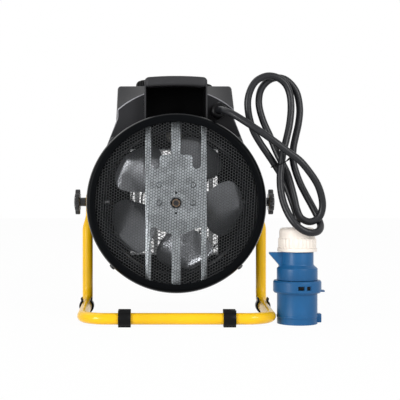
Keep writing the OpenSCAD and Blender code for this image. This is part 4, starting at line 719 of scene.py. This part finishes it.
def stand_tube():
    """Half of the tube runs from its flattened ear down the leg, along the runner and half the crossbar.

    Each ring is |x/a|^n + |y/b|^n = 1: round where a = b and n = 2, flat with square corners at the ear.
    The other half is its mirror image, and the two share the ring in the middle.
    """
    flat_low, ear_low = AXIS_H - 14.0, AXIS_H - 33.8
    cap = AXIS_H + EAR_HALF_W * np.cos(np.linspace(0, pi / 2, 9))
    heights = np.concatenate([cap, np.linspace(AXIS_H, flat_low, 4)[1:],
                              np.linspace(flat_low, ear_low, 12)[1:]])
    leg = np.stack([np.full(len(heights), LEG_X), np.full(len(heights), AXIS_Y), heights], -1)
    bends = rounded([leg[-1], (LEG_X, AXIS_Y, TUBE_H), (BAR_X, AXIS_Y - BAR_REACH, TUBE_H),
                     (0, AXIS_Y - BAR_REACH, TUBE_H)], [0, 21, 28, 0], 14)
    path = np.concatenate([leg, bends[1:]])
    path[:, 0] += 0.5 * np.sin(np.clip((path[:, 2] - 16) / (flat_low - 16), 0, 1) * pi) ** 0.8
    share = np.clip((path[:, 2] - ear_low) / (flat_low - ear_low), 0, 1)
    share = share * share * (3 - 2 * share)
    over = np.clip(path[:, 2] - AXIS_H, 0, EAR_HALF_W * 0.995)
    thick = TUBE_R + (EAR_HALF_T - TUBE_R) * share
    wide = np.where(over > 0, np.sqrt(EAR_HALF_W**2 - over**2), TUBE_R + (EAR_HALF_W - TUBE_R) * share)
    power = (2 + 3 * share)[:, None]
    _, side, up = frames(path, (1, 0, 0))
    c, s = np.cos(full_turn(32))[None], np.sin(full_turn(32))[None]
    x = thick[:, None] * np.sign(c) * np.abs(c) ** (2 / power)
    y = wide[:, None] * np.sign(s) * np.abs(s) ** (2 / power)
    half = path[:, None] + x[..., None] * side[:, None] + y[..., None] * up[:, None]
    half[-1, :, 0] = 0
    return shell(np.concatenate([half, (half * [-1, 1, 1])[-2::-1]]))


piece("stand_tube", stand_tube(), "stand", "yellow_tube", smooth=50)


def clip_outline():
    """A C round the tube, open upwards, with a flat pad under it and two lips that flare outwards."""
    inner, outer, mouth = TUBE_R + 0.1, TUBE_H, 42
    a = np.radians(np.linspace(90 + mouth, 450 - mouth, 49))
    inside, outside = on_circle(inner, a), on_circle(outer, a)[::-1]
    outside[:, 1] = np.where((np.abs(outside[:, 0]) < 4.6) & (outside[:, 1] < 0), -outer, outside[:, 1])
    lean = np.array([cos(radians(74)), sin(radians(74))])
    across, root = np.array([lean[1], -lean[0]]), (inside[-1] + outside[0]) / 2
    lip = rounded([root - across, root + lean * 4.3 - across, root + lean * 4.3 + across, root + across],
                  [0, 0.9, 0.9, 0], 4)
    return np.concatenate([inside[1:-1], lip, outside[1:-1], lip[::-1] * [-1, 1]])


def foot_clip(x, y, toe_out):
    """A clip on the tube at a place on the floor, turned round the upright."""
    width = 13.5
    clip = stamped(clip_outline(), width, 0.45)
    return placed(clip, backward, shift(0, width / 2, 0), turn(toe_out, "Z"), shift(x, y, TUBE_H))


runner_turn = atan2(LEG_X - BAR_X, BAR_REACH)
rear_clip = foot_clip(56, AXIS_Y - BAR_REACH, 90)
front_clip = foot_clip(LEG_X - 30 * tan(runner_turn), AXIS_Y - 30, -runner_turn * 180 / pi)
for name, clip in (("rear_foot_clips", rear_clip), ("front_foot_clips", front_clip)):
    piece(name, both(clip), "stand", "black_plastic", smooth=40)


# Clamp knobs


def star_knob():
    """Six-lobed knob: its radius is a rounded wave of the angle, which evens out towards the domed middle."""
    steps, valley_r, lobe, even_r = 180, 11.6, 3.65, 13.4
    wave = 0.5 + 0.5 * np.cos(6 * full_turn(steps))
    lobes = valley_r + lobe * np.sin(wave * pi / 2) ** 0.8
    rows = [(0.003, 1, 7.0), (0.5, 1, 7.0), (0.94, 0, 7.05), (0.985, 0, 7.3), (1, 0, 7.9), (1, 0, 11.8),
            (0.985, 0, 12.4), (0.94, 0, 12.7), (0.8, 0.1, 12.85), (0.66, 0.5, 13.1), (0.55, 0.8, 13.7),
            (0.42, 1, 14.15), (0.2, 1, 14.35), (0.003, 1, 14.4)]
    radii = [share * (lobes * (1 - even) + even_r * even) for share, even, _ in rows]
    hub = lathe(rounded([(3.1, 0), (5.4, 0), (5.2, 7.4), (3.1, 7.4)], [0, 0.6, 0, 0]), 48, True)
    return [turned(radii, [h for *_, h in rows], steps), hub]


right_knob = [placed(part, outward, shift(LEG_X + 2.3), at_axis) for part in star_knob()]
for side, shells in (("right", right_knob), ("left", [mirrored(part) for part in right_knob])):
    piece(f"{side}_clamp_knob", shells, f"clamp_knob_{side}", "black_plastic", smooth=30, finish=knob_black)


# Drum and rings

BEADS, BEAD_HALF_W = (-88.9, 80.3), 5


def end_ring():
    """Turned-over sheet: curl round the opening, flat face, rounded edge and skirt, as one closed profile."""
    opening, curl_r, skirt, sheet = 90.6, 1.1, 16, 1.2
    a = np.linspace(1.5 * pi, 0.08 * pi, 12)
    curl = on_circle(curl_r, a) + [opening, curl_r]
    outside = rounded([(RING_R, skirt), (RING_R, 0), (opening, 0)], [0, 5, 0], 10)
    inside = rounded([(opening + curl_r, sheet), (RING_R - sheet, sheet), (RING_R - sheet, skirt)],
                     [0, 3.8, 0], 8)
    return lathe(np.concatenate([outside[:-1], curl, inside]), 160, True)


for side, along, y in (("rear", forward, REAR), ("front", backward, FRONT)):
    on_drum(f"{side}_ring", end_ring(), "black_sheet", [along, shift(0, y, 0)], smooth=40, finish=rolled_edge)


def drum_wall():
    """Sheet rolled round the axis, with two beads: over each the radius swells by 0.8 cos^2."""
    rolls = [np.linspace(at - BEAD_HALF_W, at + BEAD_HALF_W, 15) for at in BEADS]
    y = np.sort(np.concatenate([*rolls, [-114.9, -100, -60, -30, 0, 30, 60, 96.9]]))
    bead = sum(0.8 * np.cos(np.clip((y - at) / BEAD_HALF_W, -1, 1) * pi / 2) ** 2 for at in BEADS)
    outside = np.stack([DRUM_R + bead, y], -1)
    inside = np.stack([DRUM_R - 1 + 0 * y, y], -1)[::-1]
    return lathe(np.concatenate([outside, inside]), 160, True)


on_drum("drum_shell", drum_wall(), "black_sheet", [forward], smooth=40)


def cross_screw(radius, height):
    """Pan head: over the polar grid its height is a dome, less 0.4 of its full height in the recess."""
    steps, slot_w, slot_reach = 48, radius * 0.16, 0.55
    radii, heights = [radius * 0.98, radius, radius * 0.97], [0, height * 0.3, height * 0.62]
    for share in np.linspace(0.9, 0.02, 12):
        from_slots = np.abs(on_circle(radius * share, full_turn(steps))).min(1)
        slot = (from_slots < slot_w) & (share < slot_reach)
        radii.append(radius * share)
        heights.append(height * (1 - 0.45 * share**2) - slot * height * 0.4)
    return turned(radii, heights, steps)


def ring_screws():
    """Four screws on the drum's diagonals."""
    head = placed(cross_screw(3.5, 2.4), shift(0, 0, RING_R + 0.06))
    return [placed(head, turn(a, "Y")) for a in (45, 135, 225, 315)]


for side, y in (("rear", REAR + 9.92), ("front", FRONT - 9.92)):
    on_drum(f"{side}_ring_screws", ring_screws(), "black_screws", [shift(0, y, 0)], smooth=30)


def perforated_sheet(pitch=3.25, strand=0.5, reach=92.0, rim=93.2, open_to=90.9):
    """Six-sided holes on a triangular lattice: each cell is a hexagon round the same hexagon made smaller.

    Neighbouring cells share their corners, and the corners at the sheet's edge move out to its rim.
    """
    n = int(reach / pitch * 1.3) + 1
    i, j = np.meshgrid(np.arange(-n, n + 1), np.arange(-n, n + 1), indexing="ij")
    centre = np.stack([(j + (i % 2) * 0.5) * pitch, i * pitch * sqrt(3) / 2], -1).reshape(-1, 2)
    centre = centre[np.hypot(*centre.T) < reach]
    k = np.arange(6) * pi / 3 + pi / 6
    corner = on_circle(1.0, k) / sqrt(3)
    flat = (centre[:, None] + corner * pitch).reshape(-1, 2)
    key = np.round(flat / pitch * [2, 6 / sqrt(3)])
    _, first, same = np.unique(key, axis=0, return_index=True, return_inverse=True)
    corner_id, edge = same.reshape(-1, 6), flat[first]
    pairs = np.stack([corner_id, np.roll(corner_id, -1, 1)], -1).reshape(-1, 2)
    _, index, uses = np.unique(np.sort(pairs, 1), axis=0, return_index=True, return_counts=True)
    border = pairs[index[uses == 1]]
    on_border = np.unique(border)
    edge[on_border] *= (rim / np.hypot(*edge[on_border].T))[:, None]
    is_open = np.hypot(*centre.T) < open_to
    holes = (centre[is_open][:, None] + corner * (pitch - strand)).reshape(-1, 2)
    plan = np.concatenate([edge, holes])
    count = len(plan)
    points = np.concatenate([np.c_[plan, np.zeros(count)], np.c_[plan, np.full(count, 0.8)]])
    o, h = corner_id[is_open], len(edge) + np.arange(len(holes)).reshape(-1, 6)
    next_o, next_h, (start, end) = np.roll(o, -1, 1), np.roll(h, -1, 1), border.T
    top, wall = quads(o, next_o, next_h, h), quads(h, next_h, next_h + count, h + count)
    rim_wall = quads(end, start, start + count, end + count)
    plain = corner_id[~is_open]
    faces = (top + count).tolist() + top[:, ::-1].tolist() + wall.tolist() + rim_wall[:, ::-1].tolist()
    faces += (plain + count).tolist() + plain[:, ::-1].tolist()
    return points, facing_out(points, faces)


on_drum("rear_mesh", perforated_sheet(), "black_sheet", [turn(33, "Z"), forward, shift(0, REAR + 2.5, 0)],
        smooth=30, finish=mesh_black)


def front_guard():
    """Wire rings welded on six straight rods."""
    inner, outer = 14.2, 94.4
    parts = [placed(ring_wire(r, 1.3), forward) for r in np.linspace(outer, inner, 7)]
    for a in np.radians(np.arange(6) * 60 + 90):
        out = np.array([cos(a), 0, sin(a)])
        parts.append(tube(np.linspace(inner, outer, 12)[:, None] * out, 1.05, 10))
    return parts


on_drum("front_guard", front_guard(), "black_sheet", [shift(0, FRONT - 3.8, 0)], smooth=50)


# Motor bracket and fan

BRACKET_Y, FAN_Y = -103.0, -42.1


def bracket_outline():
    """Outline of the pressed bracket: two outer straps, a middle strap, and the motor's plate between."""
    half = [(5.0, 95.2), (5.0, 54.0), (18.3, 54.0), (18.3, 38.4), (27.9, 38.4), (27.9, 90.1), (34.3, 90.1),
            (34.3, -90.1), (27.9, -90.1), (27.9, -27.6), (23.8, -27.6), (7.5, -34.5), (5.0, -34.5),
            (5.0, -95.2)]
    radii = [0.4, 0.6, 4.4, 4.49, 4.49, 0.4, 0.4, 0.4, 0.4, 1.2, 1.5, 1.0, 0.6, 0.4]
    line = rounded([(0, 95.2), *half, (0, -95.2)], [0, *radii, 0], 7)[1:-1]
    return np.concatenate([line, (line * [-1, 1])[::-1]])


RIVET_PLACES = [(s * 19.0, h) for s in (-1, 1) for h in (20.0, 0.0)]


def motor_bracket():
    """The pressed plate with its holes, and the six tabs that hold its straps' ends to the drum."""
    sheet, holes = 1.5, [circle(5.8, steps=40), circle(1.3, (0, 11.4), 16), circle(1.3, (0, -11.4), 16)]
    holes += [circle(1.85, place, 20) for place in RIVET_PLACES]
    plate = placed(stamped(bracket_outline(), sheet, 0.6, holes), backward, shift(0, sheet, 0))
    tab = block((-3.6, 0.3, 94.3), (3.6, 11.8, 95.8), 0.25)
    return [plate, *(placed(tab, turn(end + lean, "Y")) for end in (0, 180) for lean in (-18.6, 0, 18.6))]


on_drum("motor_bracket", motor_bracket(), "galvanised_sheet", [shift(0, BRACKET_Y, 0)])
rivet = lathe(rounded([(0.05, 1.7), (2.2, 1.6), (3.4, 0.1), (1.8, 0), (0.05, 0)], [0, 1.2, 0.2, 0, 0]), 32)
rivets = [placed(rivet, backward, shift(x, BRACKET_Y - 0.06, h)) for x, h in RIVET_PLACES]
on_drum("bracket_rivets", rivets, "steel", smooth=40, finish=FINISHES["galvanised_sheet"])


def fan_blade(first_angle):
    """Pressed blade: at share v of its length it covers an angle that widens and then rounds off at the tip.

    Its surface rises from the leading edge, u = -1, to the trailing edge, u = 1, and is cupped by 1 - u^2.
    The tip's corner is squarer towards the leading edge.
    """
    n, half_sheet, widest = 25, 0.6, 0.55
    root_r, length, half_angle, rise, cup = 21, 58.5, 31, 12, 0.15
    u, v = np.meshgrid(np.linspace(-1, 1, n), np.linspace(0, 1, n))
    tip = np.clip((v - widest) / (1 - widest), 0, 1) ** np.where(u < 0, 4.0, 3.0)
    half = half_angle * (0.62 + 0.38 * np.minimum(1, v / widest)) * np.sqrt(np.maximum(0.03, 1 - tip))
    plan = on_circle(root_r + length * v, np.radians(u * half + first_angle))
    lift = rise * (0.5 + 0.5 * v) * (u - cup * (1 - u * u)) * np.minimum(1, 0.15 + 3 * v)
    middle = np.dstack([plan, lift]).reshape(-1, 3)
    points = np.concatenate([middle - [0, 0, half_sheet], middle + [0, 0, half_sheet]])
    i, j = np.meshgrid(np.arange(n - 1), np.arange(n - 1), indexing="ij")
    low = quads(i * n + j, i * n + j + 1, (i + 1) * n + j + 1, (i + 1) * n + j)
    k = np.arange(n - 1)
    edge = np.concatenate([k, k * n + n - 1, n * n - 1 - k, (n - 1 - k) * n])
    rim = quads(edge, np.roll(edge, -1), np.roll(edge, -1) + n * n, edge + n * n)
    faces = (low + n * n).tolist() + low[:, ::-1].tolist() + rim.tolist()
    return points, facing_out(points, faces)


fan_disc = lathe(rounded([(6.0, -0.6), (23, -0.6), (23, 0.6), (6.0, 0.6)], [0, 0.4, 0.4, 0]), 64, True)
blades = [fan_blade(k * 72 + 8) for k in range(5)]
piece("fan_wheel", [fan_disc, *blades], "fan", "fan_aluminium", [forward, shift(0, FAN_Y, 0), at_axis],
      smooth=40)


# Hood

HOOD_FRONT, RIDGE_Y, RIDGE_H, FALL = 80.0, -20.0, 139.5, 0.27
HOOD_HALF_W, ARCH_R, ARCH_H, SEAT_R = 66.2, 101.0, 29.4, 98.9
GLAND = shift(48, HOOD_REAR, 103.5)
PANEL_SLOPE, PANEL_L, PANEL_HALF_W, PANEL_START = 15.11, 93.58, 60.5, 5.0
DIAL_X, DIAL_DOWN, LAMP_DOWN = 35.0, 30.9, 63.6
HANDLE_HALF, HANDLE_TOP, HANDLE_LOW, CROWN_R = 35.3, 142.5, 92.6, 367.3
HANDLE_REAR, HANDLE_FRONT, GRIP_L, GRIP_H = -100.0, -36.0, 24.0, 11.0


def soft_min(a, b, k):
    """The lower of two heights, with the crease between them rounded over k."""
    h = np.clip(k - np.abs(a - b), 0, None) / k
    return np.minimum(a, b) - h * h * k / 4


def section(loop, y):
    """A loop of (x, height) places, stood up at a place along the drum."""
    return np.c_[loop[:, 0], np.full(len(loop), float(y)), loop[:, 1]]


def hood_top(x, half_w, y, inset):
    """Height of the top: an arc at the rear, level at the ridge, and falling forwards from there."""
    arc = ARCH_H + np.sqrt((ARCH_R - inset) ** 2 - (x * (HOOD_HALF_W - inset) / half_w) ** 2)
    ridge = RIDGE_H - inset
    rear = arc + (ridge - arc) * (y - HOOD_REAR) / (RIDGE_Y - HOOD_REAR)
    return soft_min(rear, ridge - FALL * (y - RIDGE_Y), 3.0)


def hood_section(y, inset=0.0, floor_r=SEAT_R):
    """Outline square to the drum: over the top from skirt to skirt, and back on the drum or a lower arc."""
    s = np.clip((y - HOOD_REAR) / (RIDGE_Y - HOOD_REAR), 0, 1)
    half_w = HOOD_HALF_W + 1.8 * s - inset
    x = np.linspace(0, 1, 16)[:-1] * (half_w - 3)
    top = np.stack([x, hood_top(x, half_w, y, inset)], -1)
    corner = (half_w, float(hood_top(np.array(half_w), half_w, y, inset)))
    flare, foot = (HOOD_HALF_W + 4.0 * s - inset, 96 - 2.5 * s), (81.5 - 1.05 * inset, 55.5)
    line = rounded([*top, corner, flare, foot], [0] * len(top) + [1.8 + 2.4 * s, 12, 0], 6)
    line[-1] *= floor_r / np.hypot(*line[-1])
    a = np.linspace(atan2(line[-1, 0], line[-1, 1]), 0, 16)[1:]
    right = np.concatenate([line, np.stack([floor_r * np.sin(a), floor_r * np.cos(a)], -1)])
    return section(np.concatenate([right, (right * [-1, 1])[-2:0:-1]]), y)


def rounded_end(radius):
    """Distances from a form's end, r(1 - cos t), each with what its outline is drawn in by, r(1 - sin t)."""
    t = np.linspace(0, pi / 2, 7)
    return list(zip(radius * (1 - np.cos(t)), radius * (1 - np.sin(t))))


def hood_loft(wall=0.0, floor_r=SEAT_R, edge=1.3):
    """Sections along the drum, with rounded edges at both end walls."""
    ends, rear, front = rounded_end(edge), HOOD_REAR + wall, HOOD_FRONT - wall
    middle = [-78, -70, -62, -54, -46, -38, -32, -28, -25, -22.5, -20, -17.5, -15, -12, -8, 0, 20, 40, 60, 72]
    rows = [hood_section(rear + y, wall + inset, floor_r) for y, inset in ends]
    rows += [hood_section(y, wall, floor_r) for y in middle]
    rows += [hood_section(front - y, wall + inset, floor_r) for y, inset in ends[::-1]]
    return shell(np.stack(rows))


def on_panel(p):
    """From the panel's own frame: its y runs down the slope from the ridge, and its z is square to it."""
    return at_axis(turn(-PANEL_SLOPE, "X")(p) + [0, RIDGE_Y, RIDGE_H - 0.5])


def cube(low, high):
    """A plain box, for cutting."""
    (x, y, z), (x2, y2, z2) = low, high
    return shell(np.array([[(x, y, h), (x2, y, h), (x2, y2, h), (x, y2, h)] for h in (z, z2)], float))


def panel_opening(grow, low, high):
    """A box over the panel's outline, grown all round, between two heights square to the panel."""
    rear, front = PANEL_START - grow, PANEL_START + PANEL_L + grow
    return placed(cube((-PANEL_HALF_W - grow, rear, low), (PANEL_HALF_W + grow, front, high)), on_panel)


# The hood's finish paints a highlight along its rear edge.
hood = on_drum("hood_shell", hood_loft(), "hood_plastic", smooth=28, finish=hood_painted_highlight)
fit = 0.3
cut(hood, [
    placed(hood_loft(2.5, 92.0, 2.0), at_axis),
    placed(cube((-HANDLE_HALF - fit, -120, 60), (HANDLE_HALF + fit, HANDLE_FRONT + fit, 200)), at_axis),
    panel_opening(fit, -2.0, 40),
    panel_opening(-5.0, -9, 9),
    placed(lathe([(6.2, -5), (6.2, 5)], 48), forward, GLAND, at_axis)])


# Handle


def crown(x):
    """Height of the handle's top, an arc across it."""
    return HANDLE_TOP - CROWN_R + np.sqrt(CROWN_R**2 - x**2)


def handle_grip():
    """A bar across the hood: rounded rectangles side by side, which draw in at both ends."""
    ends = [(HANDLE_HALF - distance, inset) for distance, inset in rounded_end(4.8)]
    sections = [(-x, inset) for x, inset in ends] + [(x, 0) for x in np.linspace(-28, 28, 13)]
    sections += [(x, inset) for x, inset in ends[::-1]]
    rows = []
    for x, m in sections:
        y, y2 = HANDLE_REAR + m, HANDLE_REAR + GRIP_L - m
        z, z2 = crown(x) - GRIP_H + m, crown(x) - m
        loop = rounded([(y, z), (y2, z), (y2, z2), (y, z2)], max(3.4 - m, 0.4), 6, True)
        rows.append(np.c_[np.full(len(loop), x), loop])
    return shell(np.stack(rows))


def handle_walls():
    """Roof and two sides in one bent section, which runs forward from under the grip."""
    sides, roof, rows = 1.6, 2.6, []
    over = np.linspace(-1, 1, 21)[1:-1] * (HANDLE_HALF - 5)
    scale = np.array([(HANDLE_HALF - sides) / HANDLE_HALF, 1])
    for y, sink in ((-98.2, 5), (-91, 5), (-87, 0), (-70, 0), (-50, 0), (HANDLE_FRONT - 1.6, 0),
                    (HANDLE_FRONT, 0.5)):
        corner = crown(HANDLE_HALF) - sink
        line = [(-HANDLE_HALF, HANDLE_LOW), (-HANDLE_HALF, corner), *zip(over, crown(over) - sink),
                (HANDLE_HALF, corner), (HANDLE_HALF, HANDLE_LOW)]
        outside = rounded(line, [0, 4.4, *[0] * len(over), 4.4, 0], 6)
        inside = outside[::-1] * scale
        inside[:, 1] -= np.where(inside[:, 1] > HANDLE_LOW, roof, 0)
        rows.append(section(np.concatenate([outside, inside]), y))
    return shell(np.stack(rows))


def handle_front():
    """The wall that closes the recess in front, under the roof's crown."""
    x = np.linspace(-1, 1, 25) * (HANDLE_HALF - 1.0)
    roof, foot = np.stack([x, crown(x) - 1.2], -1), [(x[-1], HANDLE_LOW), (0, SEAT_R), (x[0], HANDLE_LOW)]
    wall = stamped(np.concatenate([roof, foot]), 1.6, 0.2)
    return placed(wall, backward, shift(0, HANDLE_FRONT - 0.2, 0))


def painted_shade_liner():
    """A thin near-black liner inside the recess under the handle, painted shade where the light does not
    reach: one bent section along it, and a sheet over the wall in front.
    """
    liner = 0.5
    over = np.linspace(-1, 1, 15) * (HANDLE_HALF - 2.2)
    roof, left, right = np.stack([over, crown(over) - 3.2], -1), over[0], over[-1]
    under = roof[::-1] * [0.985, 1] - [0, liner]
    loop = np.concatenate([[(left, HANDLE_LOW)], roof, [(right, HANDLE_LOW), (right - liner, HANDLE_LOW)],
                           under, [(left + liner, HANDLE_LOW)]])
    rows = [section(loop, y) for y in (-86, HANDLE_FRONT - 2.4)]
    sheet = stamped(np.concatenate([roof - [0, 0.6], [(right, 93), (0, 99.5), (left, 93)]]), liner, 0.1)
    return [shell(np.stack(rows)), placed(sheet, backward, shift(0, HANDLE_FRONT - 1.85, 0))]


handle_parts = [handle_grip(), handle_walls(), handle_front()]
on_drum("carry_handle", handle_parts, "hood_plastic", smooth=40)
# A near-black liner in the handle's recess, as painted shade.
on_drum("painted_shade_liner", painted_shade_liner(), "hood_plastic", replaces=(), smooth=40, finish=painted_shade_black)


# Gland


def six_sided(rows):
    """Turned rows of (radius, height), which go no further out than a hexagon 16.4 across its flats."""
    steps = 144
    hexagon = 16.4 / 2 / np.cos((full_turn(steps) + pi / 6) % (pi / 3) - pi / 6)
    return turned([np.minimum(hexagon, r) for r, _ in rows], [h for _, h in rows], steps, True)


def gland_nut():
    """Six flats under a dome, with a bore for the cord."""
    rows = [(4.8, 4.75), (8.4, 4.7), (9.6, 5.6), (9.6, 11.6)]
    rows += [(5.9 + 3.7 * sqrt(1 - share**2), 11.6 + 5.4 * share) for share in np.linspace(0.1, 0.96, 9)]
    return six_sided(rows + [(6.3, 17.1), (5.6, 17.3), (4.3, 17.3), (4.2, 16.5), (4.2, 8), (4.8, 8)])


def gland_body():
    """Six flats against the hood's wall, on a plain thread through it."""
    flats = six_sided([(4.3, 0.3), (8.6, 0.3), (9.6, 0.8), (9.6, 3.9), (8.6, 4.4), (4.3, 4.4)])
    return [flats, lathe([(4.3, -6), (5.9, -6), (5.9, 4), (4.3, 4)], 48, True)]


for name, shells in (("gland_nut", gland_nut()), ("gland_body", gland_body())):
    on_drum(name, shells, "black_plastic", [backward, GLAND])


# Panel and dials

SCREW_IN = 4.9
SCREW_PLACES = [(s * (PANEL_HALF_W - SCREW_IN), PANEL_START + y)
                for s in (-1, 1) for y in (SCREW_IN, PANEL_L - SCREW_IN)]


def control_panel():
    """Plate with rounded corners, and holes for the spindles, the lamp and the four screws."""
    rear, front, thickness = PANEL_START, PANEL_START + PANEL_L, 1.7
    corners = [(-PANEL_HALF_W, rear), (PANEL_HALF_W, rear), (PANEL_HALF_W, front), (-PANEL_HALF_W, front)]
    holes = [circle(3.1, (s * DIAL_X, DIAL_DOWN), 24) for s in (-1, 1)]
    holes += [circle(5.1, (0, LAMP_DOWN), 32), *(circle(1.8, place, 16) for place in SCREW_PLACES)]
    return placed(stamped(rounded(corners, 4, 6, True), thickness, 0.3, holes), shift(0, 0, -thickness))


piece("control_panel", control_panel(), "housing", "black_plastic", [on_panel])
screws = [placed(cross_screw(3.5, 2.2), shift(x, y, 0.06)) for x, y in SCREW_PLACES]
piece("panel_screws", screws, "housing", "black_screws", [on_panel], smooth=30)


def dial(height, wide=1.0):
    """Knob with a skirt and twelve flutes round its grip: the grip's radius dips by 1.5 sin^4 in each."""
    steps = 240
    flute = np.sin(6 * full_turn(steps)) ** 4 * 1.5
    skirt = height * 0.22
    rows = [(13.6, 0.0, 0), (14, 0.5, 0), (14, skirt - 0.7, 0), (13.4, skirt, 0), (12.2, skirt, 0.4),
            (12.0, skirt + 0.8, 1), (11.9, height * 0.5, 1), (11.8, height - 4.4, 1),
            (11.6, height - 3.4, 0.8), (11.2, height - 2.5, 0.3), (10.6, height - 1.8, 0),
            (9.4, height - 1.1, 0), (7.6, height - 0.55, 0), (5, height - 0.2, 0), (2.5, height - 0.04, 0),
            (0.05, height, 0)]
    radii = [2.9] + [(r - flute * share) * wide for r, _, share in rows]
    return turned(radii, [0] + [h for _, h, _ in rows], steps)


for name, x, height, wide in (("selector", -DIAL_X, 17.2, 1.0), ("thermostat", DIAL_X, 12.3, 1.12)):
    body, moves = f"{name}_dial", [shift(x, DIAL_DOWN, 0.3), on_panel]
    piece(f"{name}_knob", dial(height, wide), body, "black_plastic", moves, smooth=30)
    mark = block((-0.6, 2.5, height - 1.1), (0.6, 7.6, height + 0.1), 0.1)
    piece(f"{name}_mark", mark, body, "cream_plastic", moves, ())


def tick(x, half_w, reach, angle):
    """A raised mark beside the dial at x, which runs outwards to its reach."""
    start, height = 16, 0.18
    mark = block((-half_w, start, 0), (half_w, reach, height), 0.05)
    return placed(mark, turn(-angle, "Z"), shift(x, DIAL_DOWN, 0))


positions = [tick(-DIAL_X, 0.45, 20, a) for a in (0, 45, 90, 135)]
sweep = [tick(DIAL_X, 0.35, 17 + 2.6 * k / 18, k * 15) for k in range(19)]
piece("panel_scale", positions + sweep, "housing", "cream_plastic", [on_panel], ())


# Light, floor and the closing lines

LAMPS = (
    ("left", (-1.05, -1.15, 0.3), (0.5, 0.6), 13.0),
    ("right", (0.9, -1.2, 0.7), (0.6, 0.7), 12.0),
    ("top", (-0.9, 0.4, 1.5), (1.2, 1.0), 3.5),
)
AIM = Vector((0, 0, 0.13))
for name, place, size, power in LAMPS:
    light = bpy.data.lights.new(name, "AREA")
    light.shape, light.size, light.size_y, light.energy = "RECTANGLE", *size, power
    lit = in_scene(name, light)
    lit.location = place
    lit.rotation_euler = (AIM - Vector(place)).to_track_quat("-Z", "Y").to_euler()

world = bpy.data.worlds.new("studio")
bpy.context.scene.world = world
studio = Nodes(world)
sky = studio.tree.nodes["Background"]
sky.inputs["Color"].default_value, sky.inputs["Strength"].default_value = (1, 1, 1, 1), 0.45
studio.white_where_seen(Value(studio, sky.outputs[0]), "ShaderNodeBackground", 1.0, "World Output")

paper = Finish("floor paper", Base_Color=(0.94, 0.94, 0.94, 1), Roughness=0.9)
paper.white_where_seen(Value(paper, paper.shader.outputs[0]), "ShaderNodeEmission", 0.965, "Material Output")
reach = 4000
corners = [(-reach, -reach, 0), (reach, -reach, 0), (reach, reach, 0), (-reach, reach, 0)]
floor = in_scene("floor", as_mesh("floor", corners, [(0, 1, 2, 3)]))
floor.data.materials.append(paper.material)
bpy.context.scene.view_settings.view_transform = "Standard"
